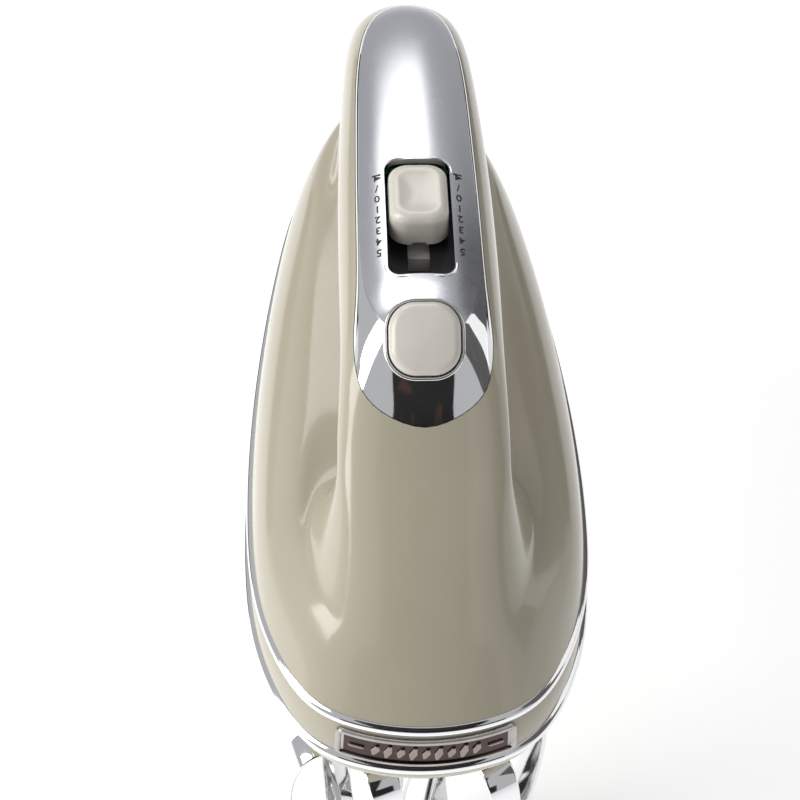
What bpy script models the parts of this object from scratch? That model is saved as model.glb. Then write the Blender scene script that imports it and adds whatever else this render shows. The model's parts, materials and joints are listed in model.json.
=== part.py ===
"""Hand mixer with a closed loop handle, chrome trims and two strip beaters.

Lengths are in metres. The design frame has +Z up, the nose towards -Y and the upper trim ring at z = 0.
The empty "grip_frame" then carries the whole model so that the middle of the grip is the world origin.
"""

import math

import bmesh
import bpy
from mathutils import Matrix, Vector
from mathutils.bvhtree import BVHTree

MM = 0.001

# Overall body
HALF_WIDTH = 43.6 * MM
BODY_LENGTH = 208.4 * MM
NOSE_Y = -48.6 * MM
HANDLE_TOP = 75.5 * MM
HANDLE_DEPTH = 29.0 * MM
HANDLE_HALF_WIDTH = 20.2 * MM
BODY_TOP = 26.0 * MM
WALL = 2.2 * MM
GAP = 0.3 * MM
GRIP = Vector((0.0, 75.0 * MM, 61.0 * MM))

# Trim rings, band and pan
RING_HEIGHT = 3.6 * MM
RING_PROUD = 1.5 * MM
BAND_HEIGHT = 13.0 * MM
BAND_FLARE = 1.2 * MM
PAN_HEIGHT = 8.6 * MM
PAN_FLOOR = 2.4 * MM
NAMEPLATE_WIDTH = 42.0 * MM
NAMEPLATE_HEIGHT = 10.0 * MM
NAMEPLATE_DEPTH = 1.2 * MM
NAMEPLATE_RIM = 1.2 * MM
VENTS = 7
VENT_PITCH = 4.4 * MM
VENT_LENGTH = 26.0 * MM
VENT_WIDTH = 2.0 * MM
SCREW_RADIUS = 1.5 * MM
SCREW_HEAD_RADIUS = 2.8 * MM
SCREW_SINK = 1.4 * MM
SCREW_LENGTH = 9.5 * MM
PAD_RADIUS = 5.0 * MM
PAD_HEIGHT = 1.5 * MM
PAD_X = 11.0 * MM

# Handle cover
COVER_WALL = 1.8 * MM
COVER_HALF_WIDTH = 0.762 * HANDLE_HALF_WIDTH
COVER_NOSE_HALF_WIDTH = 0.832 * HANDLE_HALF_WIDTH
COVER_FRONT_Y = NOSE_Y + 0.2452 * BODY_LENGTH
COVER_REAR_Y = NOSE_Y + 0.8906 * BODY_LENGTH
COVER_LIFT = 2.4 * MM
COVER_SIDE_LIFT = 0.7 * MM

# Speed slider
KNOB_WIDTH = 15.3 * MM
KNOB_LENGTH = 22.3 * MM
KNOB_HEIGHT = 9.4 * MM
KNOB_TOP = HANDLE_TOP + 3.5 * MM
KNOB_CORNER = 4.2 * MM
KNOB_EDGE = 1.8 * MM
KNOB_TOP_SHARE = 0.86
KNOB_TOP_TAPER = 0.95
DISH_RADIUS = 32.0 * MM
DISH_DEPTH = 0.8 * MM
NOTCH_WIDTH = 4.0 * MM
NOTCH_DEPTH = 1.0 * MM
SLIDE_TRAVEL = 13.2 * MM
PRESS_TRAVEL = 3.2 * MM
SLOT_WIDTH = KNOB_WIDTH + 4 * GAP
SLOT_FRONT_Y = NOSE_Y + 0.398 * BODY_LENGTH
SLOT_REAR_Y = SLOT_FRONT_Y + SLIDE_TRAVEL + KNOB_LENGTH + 6 * GAP
SLOT_CORNER = 3.2 * MM
DECK_THICKNESS = 1.5 * MM
DECK_OVERLAP = 2.0 * MM
STEM_WIDTH = 5.0 * MM
STEM_LENGTH = 6.0 * MM
CARRIAGE_WIDTH = 20.0 * MM
CARRIAGE_LENGTH = 22.0 * MM
CARRIAGE_HEIGHT = 4.6 * MM
BAR_THICKNESS = 2.6 * MM
BAR_WIDTH = 6.0 * MM
BAR_DROP = 2.0 * MM
FORK_THICKNESS = 2.4 * MM
KNOB_BOTTOM = KNOB_TOP - KNOB_HEIGHT
KNOB_Y = SLOT_REAR_Y - 3 * GAP - KNOB_LENGTH / 2
DECK_TOP = KNOB_BOTTOM - PRESS_TRAVEL - 2 * GAP
CARRIAGE_TOP = DECK_TOP - DECK_THICKNESS - GAP
CARRIAGE_BOTTOM = CARRIAGE_TOP - CARRIAGE_HEIGHT
BAR_TOP = CARRIAGE_BOTTOM - BAR_DROP

# Turbo button
TURBO_SIZE = 17.4 * MM
TURBO_LENGTH = 17.8 * MM
TURBO_HEIGHT = 7.0 * MM
TURBO_PROUD = 3.6 * MM
TURBO_Y = NOSE_Y + 0.3158 * BODY_LENGTH
TURBO_TILT = math.radians(33.0)
TURBO_TRAVEL = 2.2 * MM
TURBO_STEM_RADIUS = 2.0 * MM
TURBO_STEM_LENGTH = 3.4 * MM
TURBO_CORNER = 5.2 * MM
TURBO_EDGE = 1.6 * MM
TURBO_SWITCH_SIZE = 7.0 * MM
TURBO_SWITCH_HEIGHT = 3.2 * MM
TURBO_SPRING_RADIUS = 3.2 * MM
WIRE_RADIUS = 0.4 * MM
EJECT_SPRING_RADIUS = 5.0 * MM

# Drive
AXIS_Z = -2.0 * MM
BEATER_X = 15.2 * MM
BEATER_Y = NOSE_Y + 2 * BEATER_X + 4.2 * MM
WORM_RADIUS = 3.6 * MM
WORM_LENGTH = 24.0 * MM
WORM_STARTS = 2
WHEEL_TEETH = 28
WHEEL_THICKNESS = 9.0 * MM
TOOTH_DEPTH = 1.6 * MM
SHAFT_RADIUS = 2.5 * MM
MOTOR_FRONT_Y = BEATER_Y + 40.0 * MM
STACK_LENGTH = 26.0 * MM
STACK_SIZE = 42.0 * MM
BORE_RADIUS = 12.4 * MM
ROTOR_RADIUS = 11.6 * MM
COIL_RADIUS = 2.9 * MM
BEARING_RADIUS = 8.0 * MM
BEARING_WIDTH = 5.0 * MM
COMMUTATOR_RADIUS = 8.5 * MM
COMMUTATOR_LENGTH = 12.0 * MM
FAN_RADIUS = 19.0 * MM
FAN_WIDTH = 9.0 * MM
FAN_BLADES = 9
FAN_HUB_RADIUS = 5.0 * MM
STACK_CORNER = 5.0 * MM
WINDING_RADIUS = 9.6 * MM
WINDING_LENGTH = 5.0 * MM
COMMUTATOR_OFFSET = 10.0 * MM
BRACKET_OFFSET = 4.4 * MM
BRACKET_WIDTH = 4.0 * MM
BRACKET_SPAN = 38.0 * MM
FRONT_BRACKET_Y = BEATER_Y + 22.0 * MM
FAN_OFFSET = 3.0 * MM
BRUSH_PLATE = 2.4 * MM
BRUSH_SIZE = 5.0 * MM
BRUSH_LENGTH = 13.0 * MM
HOLDER_SIZE = 8.0 * MM
HOLDER_LENGTH = 15.0 * MM
WORM_THREAD = 0.55 * MM
WORM_TURNS = 1.5

# Gearbox
GEARBOX_HALF_WIDTH = BEATER_X + 9.3 * MM
GEARBOX_HALF_LENGTH = BEATER_X - WORM_RADIUS + 5.4 * MM
GEARBOX_FRONT = BEATER_Y - GEARBOX_HALF_LENGTH
GEARBOX_REAR = BEATER_Y + GEARBOX_HALF_LENGTH
GEARBOX_TOP = 8.4 * MM
TOP_THICKNESS = 3.0 * MM
BASE_THICKNESS = 5.8 * MM
PILLAR_SIZE = 2.5 * MM
NOSE_BLOCK_WIDTH = 12.0 * MM
NOSE_BUSH_LENGTH = 3.4 * MM
BUSH_WALL = 1.8 * MM
SPINDLE_HEAD = 2.4 * MM
STEM_HEAD = PRESS_TRAVEL + 2 * GAP

# Spindles and beaters
SPINDLE_RADIUS = 5.7 * MM
STEM_RADIUS = 3.9 * MM
COLLAR_RADIUS = 6.8 * MM
COLLAR_TOP = -40.0 * MM
COLLAR_BOTTOM = -66.0 * MM
CAGE_RADIUS = 1.48 * BEATER_X
CAGE_HEIGHT = 80.0 * MM
STRIP_WIDTH = 9.0 * MM
STRIP_THICKNESS = 1.4 * MM
LEFT_PHASE = math.radians(20.0)
SPINDLE_BOTTOM = -37.0 * MM
HUB_HEIGHT = 3.0 * MM
LOOP_TOP = -62.5 * MM
LOOP_STAGGER = 2.8 * MM

# Electrics
SWITCH_WIDTH = 22.0 * MM
SWITCH_LENGTH = 20.0 * MM
SWITCH_HEIGHT = 12.0 * MM
SWITCH_OFFSET = 6.0 * MM
SWITCH_STAND = 4.0 * MM
BOARD_LENGTH = 26.0 * MM
BOARD_THICKNESS = 1.6 * MM
BLOCK_WIDTH = 24.0 * MM
BLOCK_LENGTH = 16.0 * MM
BLOCK_HEIGHT = 14.0 * MM
BLOCK_OFFSET = 3.0 * MM

# Cord inlet
GLAND_RADIUS = 4.4 * MM
GLAND_BORE = 3.0 * MM
GLAND_LENGTH = 10.0 * MM
GLAND_PROUD = 1.6 * MM
GLAND_Z = 12.0 * MM

MODEL = "hand_mixer"
TAIL_Y = NOSE_Y + BODY_LENGTH


# ---------------------------------------------------------------- scene, materials and small helpers


def clear_scene():
    for obj in list(bpy.data.objects):
        bpy.data.objects.remove(obj, do_unlink=True)


def new_collection(name, hidden=False):
    collection = bpy.data.collections.new(name)
    collection.hide_render = hidden
    bpy.context.scene.collection.children.link(collection)
    return collection


def finish_of(name, colour, roughness, metallic=0.0):
    material = bpy.data.materials.new(name)
    material.use_nodes = True
    shader = material.node_tree.nodes["Principled BSDF"]
    shader.inputs["Base Color"].default_value = (*colour, 1.0)
    shader.inputs["Roughness"].default_value = roughness
    shader.inputs["Metallic"].default_value = metallic
    return material


clear_scene()
PARTS = new_collection(MODEL)
CUTTERS = new_collection(MODEL + "_cutters", hidden=True)
FRAME = bpy.data.objects.new("grip_frame", None)
FRAME.location = -GRIP
PARTS.objects.link(FRAME)

BEIGE = finish_of("glossy_beige", (0.42, 0.38, 0.30), 0.14)
CHROME = finish_of("chrome", (0.80, 0.80, 0.81), 0.06, 1.0)
SATIN = finish_of("satin_chrome", (0.72, 0.73, 0.75), 0.22, 1.0)
PALE = finish_of("pale_knob", (0.62, 0.59, 0.54), 0.22)
BLACK = finish_of("black_plastic", (0.02, 0.02, 0.022), 0.45)
DARK_CHROME = finish_of("dark_chrome", (0.18, 0.15, 0.14), 0.18, 1.0)
STEEL = finish_of("steel", (0.60, 0.60, 0.61), 0.30, 1.0)
LAMINATION = finish_of("lamination_steel", (0.30, 0.30, 0.32), 0.50, 1.0)
COPPER = finish_of("enamelled_copper", (0.55, 0.22, 0.09), 0.35, 1.0)
BRASS = finish_of("brass", (0.62, 0.47, 0.20), 0.30, 1.0)
CARBON = finish_of("carbon", (0.04, 0.04, 0.045), 0.60)
NYLON = finish_of("white_nylon", (0.72, 0.70, 0.64), 0.45)
BOARD = finish_of("green_board", (0.03, 0.16, 0.07), 0.50)
RUBBER = finish_of("grey_rubber", (0.10, 0.10, 0.10), 0.80)


def link_piece(obj, finish):
    PARTS.objects.link(obj)
    obj.parent = FRAME
    obj.data.materials.append(finish)
    return obj


def link_cutter(obj):
    CUTTERS.objects.link(obj)
    obj.parent = FRAME
    obj.hide_render = True
    obj.display_type = "WIRE"
    return obj


def mesh_from(shape, name):
    mesh = bpy.data.meshes.new(name)
    bmesh.ops.recalc_face_normals(shape, faces=shape.faces)
    if shape.calc_volume(signed=True) < 0.0:
        bmesh.ops.reverse_faces(shape, faces=shape.faces)
    shape.to_mesh(mesh)
    shape.free()
    return mesh


def smooth(mesh, angle=35.0):
    mesh.shade_smooth()
    mesh.set_sharp_from_angle(angle=math.radians(angle))
    return mesh


def piece(name, shape, finish, origin=Vector()):
    """A sub-part from a bmesh in the design frame, with its own origin at the point given."""
    shape.transform(Matrix.Translation(-origin))
    obj = bpy.data.objects.new(name, smooth(mesh_from(shape, name)))
    obj.location = origin
    return link_piece(obj, finish)


def cutter(name, shape):
    return link_cutter(bpy.data.objects.new(name, mesh_from(shape, name)))


def cut(obj, tool, operation="DIFFERENCE"):
    modifier = obj.modifiers.new(tool.name, "BOOLEAN")
    modifier.operation = operation
    modifier.solver = "EXACT"
    modifier.object = tool


def bevel(obj, width, segments=2, angle=40.0):
    modifier = obj.modifiers.new("rounded_edges", "BEVEL")
    modifier.width = width
    modifier.segments = segments
    modifier.limit_method = "ANGLE"
    modifier.angle_limit = math.radians(angle)
    modifier.use_clamp_overlap = True
    return modifier


def evaluated_mesh(obj):
    depsgraph = bpy.context.evaluated_depsgraph_get()
    return bpy.data.meshes.new_from_object(obj.evaluated_get(depsgraph), depsgraph=depsgraph)


# ---------------------------------------------------------------- basic shapes


def box_shape(size, centre):
    shape = bmesh.new()
    bmesh.ops.create_cube(shape, size=1.0)
    shape.transform(Matrix.Translation(centre) @ Matrix.Diagonal((*size, 1.0)))
    return shape


def axis_turn(axis):
    """The turn that takes +Z to the axis given."""
    return Vector((0.0, 0.0, 1.0)).rotation_difference(Vector(axis)).to_matrix().to_4x4()


def rod_shape(radius, length, centre, axis=(0.0, 0.0, 1.0), segments=32):
    shape = bmesh.new()
    bmesh.ops.create_cone(
        shape, cap_ends=True, segments=segments, radius1=radius, radius2=radius, depth=length
    )
    shape.transform(Matrix.Translation(centre) @ axis_turn(axis))
    return shape


def prism_shape(outline, low, high):
    """A flat outline of (x, y) points, extruded from one height to the other."""
    shape = bmesh.new()
    base = shape.faces.new([shape.verts.new((x, y, low)) for x, y in outline])
    raised = bmesh.ops.extrude_face_region(shape, geom=[base])
    top = [item for item in raised["geom"] if isinstance(item, bmesh.types.BMVert)]
    bmesh.ops.translate(shape, verts=top, vec=(0.0, 0.0, high - low))
    return shape


def rounded_rectangle(width, length, radius, steps=5):
    """Outline points of a rectangle with round corners, about its own middle."""
    points = []
    centres = ((1, 1), (-1, 1), (-1, -1), (1, -1))
    for quarter, (side_x, side_y) in enumerate(centres):
        for step in range(steps + 1):
            angle = math.radians(90.0) * (quarter + step / steps)
            x = side_x * (width / 2 - radius) + radius * math.cos(angle)
            y = side_y * (length / 2 - radius) + radius * math.sin(angle)
            points.append((x, y))
    return points


def turned(name, profile, finish, centre, axis=(0.0, 0.0, 1.0), steps=32):
    """A turned piece. The profile is a closed loop of (radius, height), its outer side running down."""
    mesh = bpy.data.meshes.new(name)
    count = len(profile)
    open_ends = profile[0][0] == 0.0 and profile[-1][0] == 0.0
    edges = [(index, (index + 1) % count) for index in range(count - 1 if open_ends else count)]
    mesh.from_pydata([(radius, 0.0, height) for radius, height in profile], edges, [])
    obj = bpy.data.objects.new(name, mesh)
    obj.matrix_local = Matrix.Translation(centre) @ axis_turn(axis)
    screw = obj.modifiers.new("turn", "SCREW")
    screw.steps = steps
    screw.render_steps = steps
    screw.use_merge_vertices = True
    screw.merge_threshold = 1e-6
    screw.use_smooth_shade = False
    return link_piece(obj, finish)


def tube_profile(inner, outer, length, chamfer=0.0):
    """A hollow turned section, about its own middle."""
    half = length / 2
    if chamfer == 0.0:
        return [(outer, half), (outer, -half), (inner, -half), (inner, half)]
    return [
        (outer - chamfer, half),
        (outer, half - chamfer),
        (outer, chamfer - half),
        (outer - chamfer, -half),
        (inner, -half),
        (inner, half),
    ]


def wire(name, points, radius, finish, closed=False, origin=Vector()):
    """A wire along a list of points, made a mesh with its ends closed."""
    curve = bpy.data.curves.new(name, "CURVE")
    curve.dimensions = "3D"
    curve.bevel_depth = radius
    curve.bevel_resolution = 2
    curve.use_fill_caps = not closed
    spline = curve.splines.new("POLY")
    spline.points.add(len(points) - 1)
    for point, place in zip(spline.points, points):
        point.co = (*(Vector(place) - origin), 1.0)
    spline.use_cyclic_u = closed
    guide = bpy.data.objects.new(name + "_route", curve)
    link_cutter(guide)
    mesh = evaluated_mesh(guide)
    bpy.data.objects.remove(guide)
    shape = bmesh.new()
    shape.from_mesh(mesh)
    bmesh.ops.remove_doubles(shape, verts=shape.verts, dist=1e-6)
    obj = bpy.data.objects.new(name, smooth(mesh_from(shape, name)))
    obj.location = origin
    return link_piece(obj, finish)


def coil_points(radius, low, high, turns, centre, axis=(0.0, 0.0, 1.0), per_turn=12):
    turn = Matrix.Translation(centre) @ axis_turn(axis)
    count = int(turns * per_turn)
    points = []
    for index in range(count + 1):
        angle = 2 * math.pi * index / per_turn
        height = low + (high - low) * index / count
        points.append(turn @ Vector((radius * math.cos(angle), radius * math.sin(angle), height)))
    return points


# ---------------------------------------------------------------- the outer skin


def along(share):
    """The place along the body of a share of its length, from the nose."""
    return NOSE_Y + share * BODY_LENGTH


def plan_outline():
    """Half of the plan outline at the trim ring, from the nose round to the tail."""
    shares = (
        (0.0, 0.0),
        (0.42, 0.015),
        (0.72, 0.062),
        (0.93, 0.165),
        (1.0, 0.29),
        (0.985, 0.44),
        (0.91, 0.60),
        (0.80, 0.745),
        (0.66, 0.86),
        (0.40, 0.955),
        (0.0, 1.0),
    )
    return [Vector((x * HALF_WIDTH, along(y), 0.0)) for x, y in shares]


def crown_outline():
    """Half of the line where the dome meets the neck, the open floor under the grip and the rear post."""
    side = HANDLE_HALF_WIDTH
    shares = (
        (0.0, 0.092, 0.92),
        (0.97, 0.109, 0.86),
        (1.30, 0.195, 0.83),
        (1.19, 0.28, 0.76),
        (1.06, 0.379, 0.85),
        (0.99, 0.498, 0.92),
        (0.97, 0.62, 0.94),
        (0.95, 0.74, 0.93),
        (0.96, 0.83, 0.85),
        (0.66, 0.93, 0.88),
        (0.0, 0.965, 0.92),
    )
    return [Vector((x * side, along(y), z * BODY_TOP)) for x, y, z in shares]


DOME_FULLNESS = (0.12, 0.15, 0.45, 0.85, 1.0, 1.0, 1.0, 0.95, 0.8, 0.5, 0.3)


def dome_row(step, plan, crown):
    """A row of points between the plan outline and the crown, on a dome that is fuller at its sides."""
    row = []
    for low, high, fullness in zip(plan, crown, DOME_FULLNESS):
        turn = math.radians(90.0) * step
        inward = (1 - fullness) * step + fullness * (1 - math.cos(turn))
        upward = (1 - fullness) * step + fullness * math.sin(turn)
        point = low.lerp(high, inward)
        point.z = high.z * upward
        row.append(point)
    return row


def grip_sections():
    """Sections of the neck, grip and post: outer point, inner point (y, z) and half width."""
    low = HANDLE_TOP - HANDLE_DEPTH
    side = HANDLE_HALF_WIDTH
    rows = (
        (0.156, 0.50, 0.273, 0.77, 1.10),
        (0.218, 0.65, 0.289, 0.93, 1.05),
        (0.277, 0.82, 0.322, 1.00, 1.02),
        (0.341, 0.94, 0.375, 1.01, 1.00),
        (0.436, 0.995, 0.455, 1.00, 1.00),
        (0.578, 1.00, 0.583, 1.00, 0.98),
        (0.73, 0.99, 0.696, 0.99, 0.92),
        (0.858, 0.94, 0.758, 0.94, 0.86),
        (0.934, 0.78, 0.782, 0.82, 0.84),
        (0.957, 0.55, 0.775, 0.67, 0.88),
    )
    sections = []
    for outer_y, outer_z, inner_y, inner_z, width in rows:
        outer = Vector((0.0, along(outer_y), outer_z * HANDLE_TOP))
        inner = Vector((0.0, along(inner_y), inner_z * low))
        edge_out = outer.lerp(inner, 0.125) + Vector((0.73 * width * side, 0.0, 0.0))
        middle = outer.lerp(inner, 0.5) + Vector((width * side, 0.0, 0.0))
        edge_in = outer.lerp(inner, 0.88) + Vector((0.78 * width * side, 0.0, 0.0))
        sections.append([outer, edge_out, middle, edge_in, inner])
    return sections


def floor_line():
    """The middle line of the open floor under the grip."""
    shares = ((0.289, 0.87), (0.379, 0.97), (0.498, 1.02), (0.62, 1.03), (0.742, 1.0))
    return [Vector((0.0, along(y), z * BODY_TOP)) for y, z in shares]


def skin_cage():
    """Half of the control cage of the upper housing, x >= 0, as points and quads."""
    plan = plan_outline()
    crown = crown_outline()
    rows = [plan, dome_row(0.34, plan, crown), dome_row(0.68, plan, crown), crown]
    points = []
    faces = []

    def add(line):
        first = len(points)
        points.extend(line)
        return list(range(first, len(points)))

    def join(lower, upper):
        for index in range(len(lower) - 1):
            faces.append((lower[index], lower[index + 1], upper[index + 1], upper[index]))

    dome = [add(row) for row in rows]
    for lower, upper in zip(dome, dome[1:]):
        join(lower, upper)
    crown_ids = dome[-1]
    middle = add(floor_line())
    join(crown_ids[3:8], middle)
    loop = crown_ids[0:4] + [middle[0]]
    for section in grip_sections():
        ids = add(section)
        join(loop, ids)
        loop = ids
    post = list(reversed(crown_ids[7:11])) + [middle[-1]]
    join(loop, post)
    return points, faces


def skin_object():
    """The outer surface of the upper housing as an open subdivided sheet through the cage's points."""
    points, faces = skin_cage()
    mesh = bpy.data.meshes.new("skin_cage")
    mesh.from_pydata(points, [], faces)
    obj = bpy.data.objects.new("upper_housing", mesh)
    mirror = obj.modifiers.new("both_sides", "MIRROR")
    mirror.merge_threshold = 1e-5
    mirror.use_clip = True
    smoothing = obj.modifiers.new("skin", "SUBSURF")
    smoothing.levels = 1
    smoothing.render_levels = 1
    link_piece(obj, BEIGE)
    for _ in range(8):
        surface = evaluated_mesh(obj)
        for index, target in enumerate(points):
            vertex = mesh.vertices[index]
            reached = surface.vertices[index].co
            vertex.co = vertex.co + (target - reached)
        bpy.data.meshes.remove(surface)
        mesh.update()
    return obj


def rim_outline(surface):
    """The lower edge of the skin as (x, y) points, going round the body."""
    shape = bmesh.new()
    shape.from_mesh(surface)
    edge = {vertex for line in shape.edges if line.is_boundary for vertex in line.verts}
    points = [Vector((vertex.co.x, vertex.co.y)) for vertex in edge]
    shape.free()
    middle_y = (NOSE_Y + TAIL_Y) / 2
    points.sort(key=lambda point: math.atan2(point.y - middle_y, point.x))
    return points


def outward(points):
    """The outward direction at each point of a closed outline that goes round anticlockwise."""
    count = len(points)
    directions = []
    for index in range(count):
        along_rim = points[(index + 1) % count] - points[index - 1]
        directions.append(Vector((along_rim.y, -along_rim.x)).normalized())
    return directions


def offset_outline(points, distance):
    return [point + direction * distance for point, direction in zip(points, outward(points))]


def belt_shape(outline, section):
    """A closed section of (distance outwards, height) swept round an outline."""
    shape = bmesh.new()
    rings = ring_rows(shape, outline, section)
    for ring, following in zip(rings, rings[1:] + rings[:1]):
        bridge(shape, ring, following)
    return shape


def skin_tree(surface):
    """A search tree of the skin, for the heights of what lies on it."""
    points = [vertex.co.copy() for vertex in surface.vertices]
    faces = [tuple(face.vertices) for face in surface.polygons]
    return BVHTree.FromPolygons(points, faces)


def height_on(tree, x, y):
    hit = tree.ray_cast(Vector((x, y, 1.0)), Vector((0.0, 0.0, -1.0)))
    return hit[0].z


# ---------------------------------------------------------------- casing


def upper_trim_ring(outline):
    top = -GAP
    low = top - RING_HEIGHT
    section = (
        (0.35 * RING_PROUD, top),
        (0.85 * RING_PROUD, top - 0.22 * RING_HEIGHT),
        (RING_PROUD, top - 0.5 * RING_HEIGHT),
        (0.85 * RING_PROUD, low + 0.22 * RING_HEIGHT),
        (0.35 * RING_PROUD, low),
        (-WALL, low),
        (-WALL, top),
    )
    return piece("upper_trim_ring", belt_shape(outline, section), CHROME)


def band_housing(outline):
    top = -2 * GAP - RING_HEIGHT
    low = top - BAND_HEIGHT
    section = (
        (0.0, top),
        (BAND_FLARE, low),
        (BAND_FLARE - WALL, low),
        (-WALL, top),
    )
    return piece("band_housing", belt_shape(outline, section), BEIGE)


def lower_trim_ring(outline):
    top = -3 * GAP - RING_HEIGHT - BAND_HEIGHT
    low = top - RING_HEIGHT
    reach = BAND_FLARE + RING_PROUD
    section = (
        (BAND_FLARE + 0.35 * RING_PROUD, top),
        (reach - 0.15 * RING_PROUD, top - 0.22 * RING_HEIGHT),
        (reach, top - 0.5 * RING_HEIGHT),
        (reach - 0.15 * RING_PROUD, low + 0.22 * RING_HEIGHT),
        (BAND_FLARE + 0.2 * RING_PROUD, low),
        (BAND_FLARE - WALL, low),
        (BAND_FLARE - WALL, top),
    )
    return piece("lower_trim_ring", belt_shape(outline, section), CHROME)


def pan_top():
    return -4 * GAP - 2 * RING_HEIGHT - BAND_HEIGHT


PAN_BOTTOM = pan_top() - PAN_HEIGHT


def ring_rows(shape, outline, rows):
    return [
        [shape.verts.new((*point, height)) for point in offset_outline(outline, distance)]
        for distance, height in rows
    ]


def bridge(shape, lower, upper):
    count = len(lower)
    for index in range(count):
        after = (index + 1) % count
        shape.faces.new((lower[index], lower[after], upper[after], upper[index]))


def vent_start():
    """The first air slot, under the commutator."""
    return MOTOR_FRONT_Y + STACK_LENGTH + COMMUTATOR_OFFSET + 4 * MM


def pad_y():
    """The pads' place, half way between the last air slot and the tail."""
    return (vent_start() + VENTS * VENT_PITCH + TAIL_Y) / 2


def lower_housing(outline):
    """The bottom pan: a tray with a rounded edge, a flat floor, and holes for spindles, screws and air."""
    tuck = 0.75 * PAN_HEIGHT
    rows = (
        (BAND_FLARE, pan_top()),
        (BAND_FLARE - 0.06 * PAN_HEIGHT, pan_top() - 0.45 * PAN_HEIGHT),
        (BAND_FLARE - 0.30 * PAN_HEIGHT, pan_top() - 0.80 * PAN_HEIGHT),
        (BAND_FLARE - tuck, PAN_BOTTOM),
        (BAND_FLARE - tuck - 0.5 * WALL, PAN_BOTTOM + PAN_FLOOR),
        (BAND_FLARE - WALL - 0.10 * PAN_HEIGHT, pan_top() - 0.45 * PAN_HEIGHT),
        (BAND_FLARE - WALL, pan_top()),
    )
    shape = bmesh.new()
    rings = ring_rows(shape, outline, rows)
    for number in (0, 1, 2, 4, 5):
        bridge(shape, rings[number], rings[number + 1])
    bridge(shape, rings[6], rings[0])
    shape.faces.new(rings[3])
    shape.faces.new(rings[4])
    obj = piece("lower_housing", shape, BEIGE)
    holes = bmesh.new()
    middle = PAN_BOTTOM + PAN_FLOOR / 2
    for side in (-1, 1):
        centre = Vector((side * BEATER_X, BEATER_Y, middle))
        add_rod(holes, SPINDLE_RADIUS + 3 * GAP, 2 * PAN_FLOOR, centre, 32)
    for x, y in pillar_places():
        add_rod(holes, SCREW_RADIUS + GAP, 2 * PAN_FLOOR, Vector((x, y, middle)), 16)
    for number in range(VENTS):
        y = vent_start() + number * VENT_PITCH
        add_box(holes, (VENT_LENGTH, VENT_WIDTH, 2 * PAN_FLOOR), Vector((0.0, y, middle)))
    cut(obj, cutter("pan_holes", holes))
    seats = bmesh.new()
    for x, y in pillar_places():
        add_rod(seats, SCREW_HEAD_RADIUS + GAP, 2 * SCREW_SINK, Vector((x, y, PAN_BOTTOM)), 24)
    cut(obj, cutter("screw_seats", seats))
    return obj


def add_rod(shape, radius, length, centre, segments):
    place = Matrix.Translation(centre)
    bmesh.ops.create_cone(
        shape, cap_ends=True, segments=segments, radius1=radius, radius2=radius, depth=length, matrix=place
    )


def add_box(shape, size, centre):
    place = Matrix.Translation(centre) @ Matrix.Diagonal((*size, 1.0))
    bmesh.ops.create_cube(shape, size=1.0, matrix=place)


def front_arc(outline, half_width, steps=14):
    """Points and outward directions of the outline across the nose, from side to side."""
    nose = sorted((point for point in outline if point.y < 0.0), key=lambda point: point.x)
    points = []
    for step in range(steps + 1):
        x = half_width * (2 * step / steps - 1)
        after = next(index for index, point in enumerate(nose) if point.x > x)
        low, high = nose[after - 1], nose[after]
        share = (x - low.x) / (high.x - low.x)
        points.append(low.lerp(high, share))
    directions = []
    for index in range(steps + 1):
        along_rim = points[min(index + 1, steps)] - points[max(index - 1, 0)]
        directions.append(Vector((along_rim.y, -along_rim.x)).normalized())
    return points, directions


def arc_slab(outline, half_width, section):
    """A closed section of (distance outwards, height) swept across the nose, with flat ends."""
    points, directions = front_arc(outline, half_width)
    shape = bmesh.new()
    stations = []
    for point, direction in zip(points, directions):
        places = [(*(point + direction * distance), height) for distance, height in section]
        stations.append([shape.verts.new(place) for place in places])
    for before, after in zip(stations, stations[1:]):
        bridge(shape, before, after)
    shape.faces.new(stations[0])
    shape.faces.new(stations[-1])
    return shape


def nameplate(outline):
    """The plate on the nose, which follows the band and has a sunk panel."""
    middle = -2 * GAP - RING_HEIGHT - BAND_HEIGHT / 2
    high = middle + NAMEPLATE_HEIGHT / 2
    low = middle - NAMEPLATE_HEIGHT / 2
    lean = BAND_FLARE / BAND_HEIGHT
    back_high = GAP + lean * (middle + BAND_HEIGHT / 2 - high)
    back_low = GAP + lean * (middle + BAND_HEIGHT / 2 - low)
    section = (
        (back_high, high),
        (back_high + NAMEPLATE_DEPTH, high),
        (back_low + NAMEPLATE_DEPTH, low),
        (back_low, low),
    )
    obj = piece("nameplate", arc_slab(outline, NAMEPLATE_WIDTH / 2, section), DARK_CHROME)
    rim = NAMEPLATE_RIM
    sunk = 0.5 * NAMEPLATE_DEPTH
    recess = (
        (back_high + sunk, high - rim),
        (back_high + 2 * NAMEPLATE_DEPTH, high - rim),
        (back_low + 2 * NAMEPLATE_DEPTH, low + rim),
        (back_low + sunk, low + rim),
    )
    cut(obj, cutter("nameplate_panel", arc_slab(outline, NAMEPLATE_WIDTH / 2 - rim, recess)))
    return obj


# ---------------------------------------------------------------- handle cover


def smooth_line(points, steps):
    """Points on a smooth line through the points given, mirrored beyond both ends across x = 0."""
    before = Vector((-points[1].x, points[1].y))
    beyond = Vector((-points[-2].x, points[-2].y))
    return spline_through([before] + points + [beyond], steps)


def spline_through(ends, steps):
    """Points on a smooth line through all but the first and the last of the points given."""
    line = []
    for first, start, end, last in zip(ends, ends[1:], ends[2:], ends[3:]):
        for step in range(steps):
            share = step / steps
            bend = (2 * first - 5 * start + 4 * end - last) * share**2
            twist = (3 * start - first - 3 * end + last) * share**3
            line.append(0.5 * (2 * start + (end - first) * share + bend + twist))
    line.append(ends[-2].copy())
    return line


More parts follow.
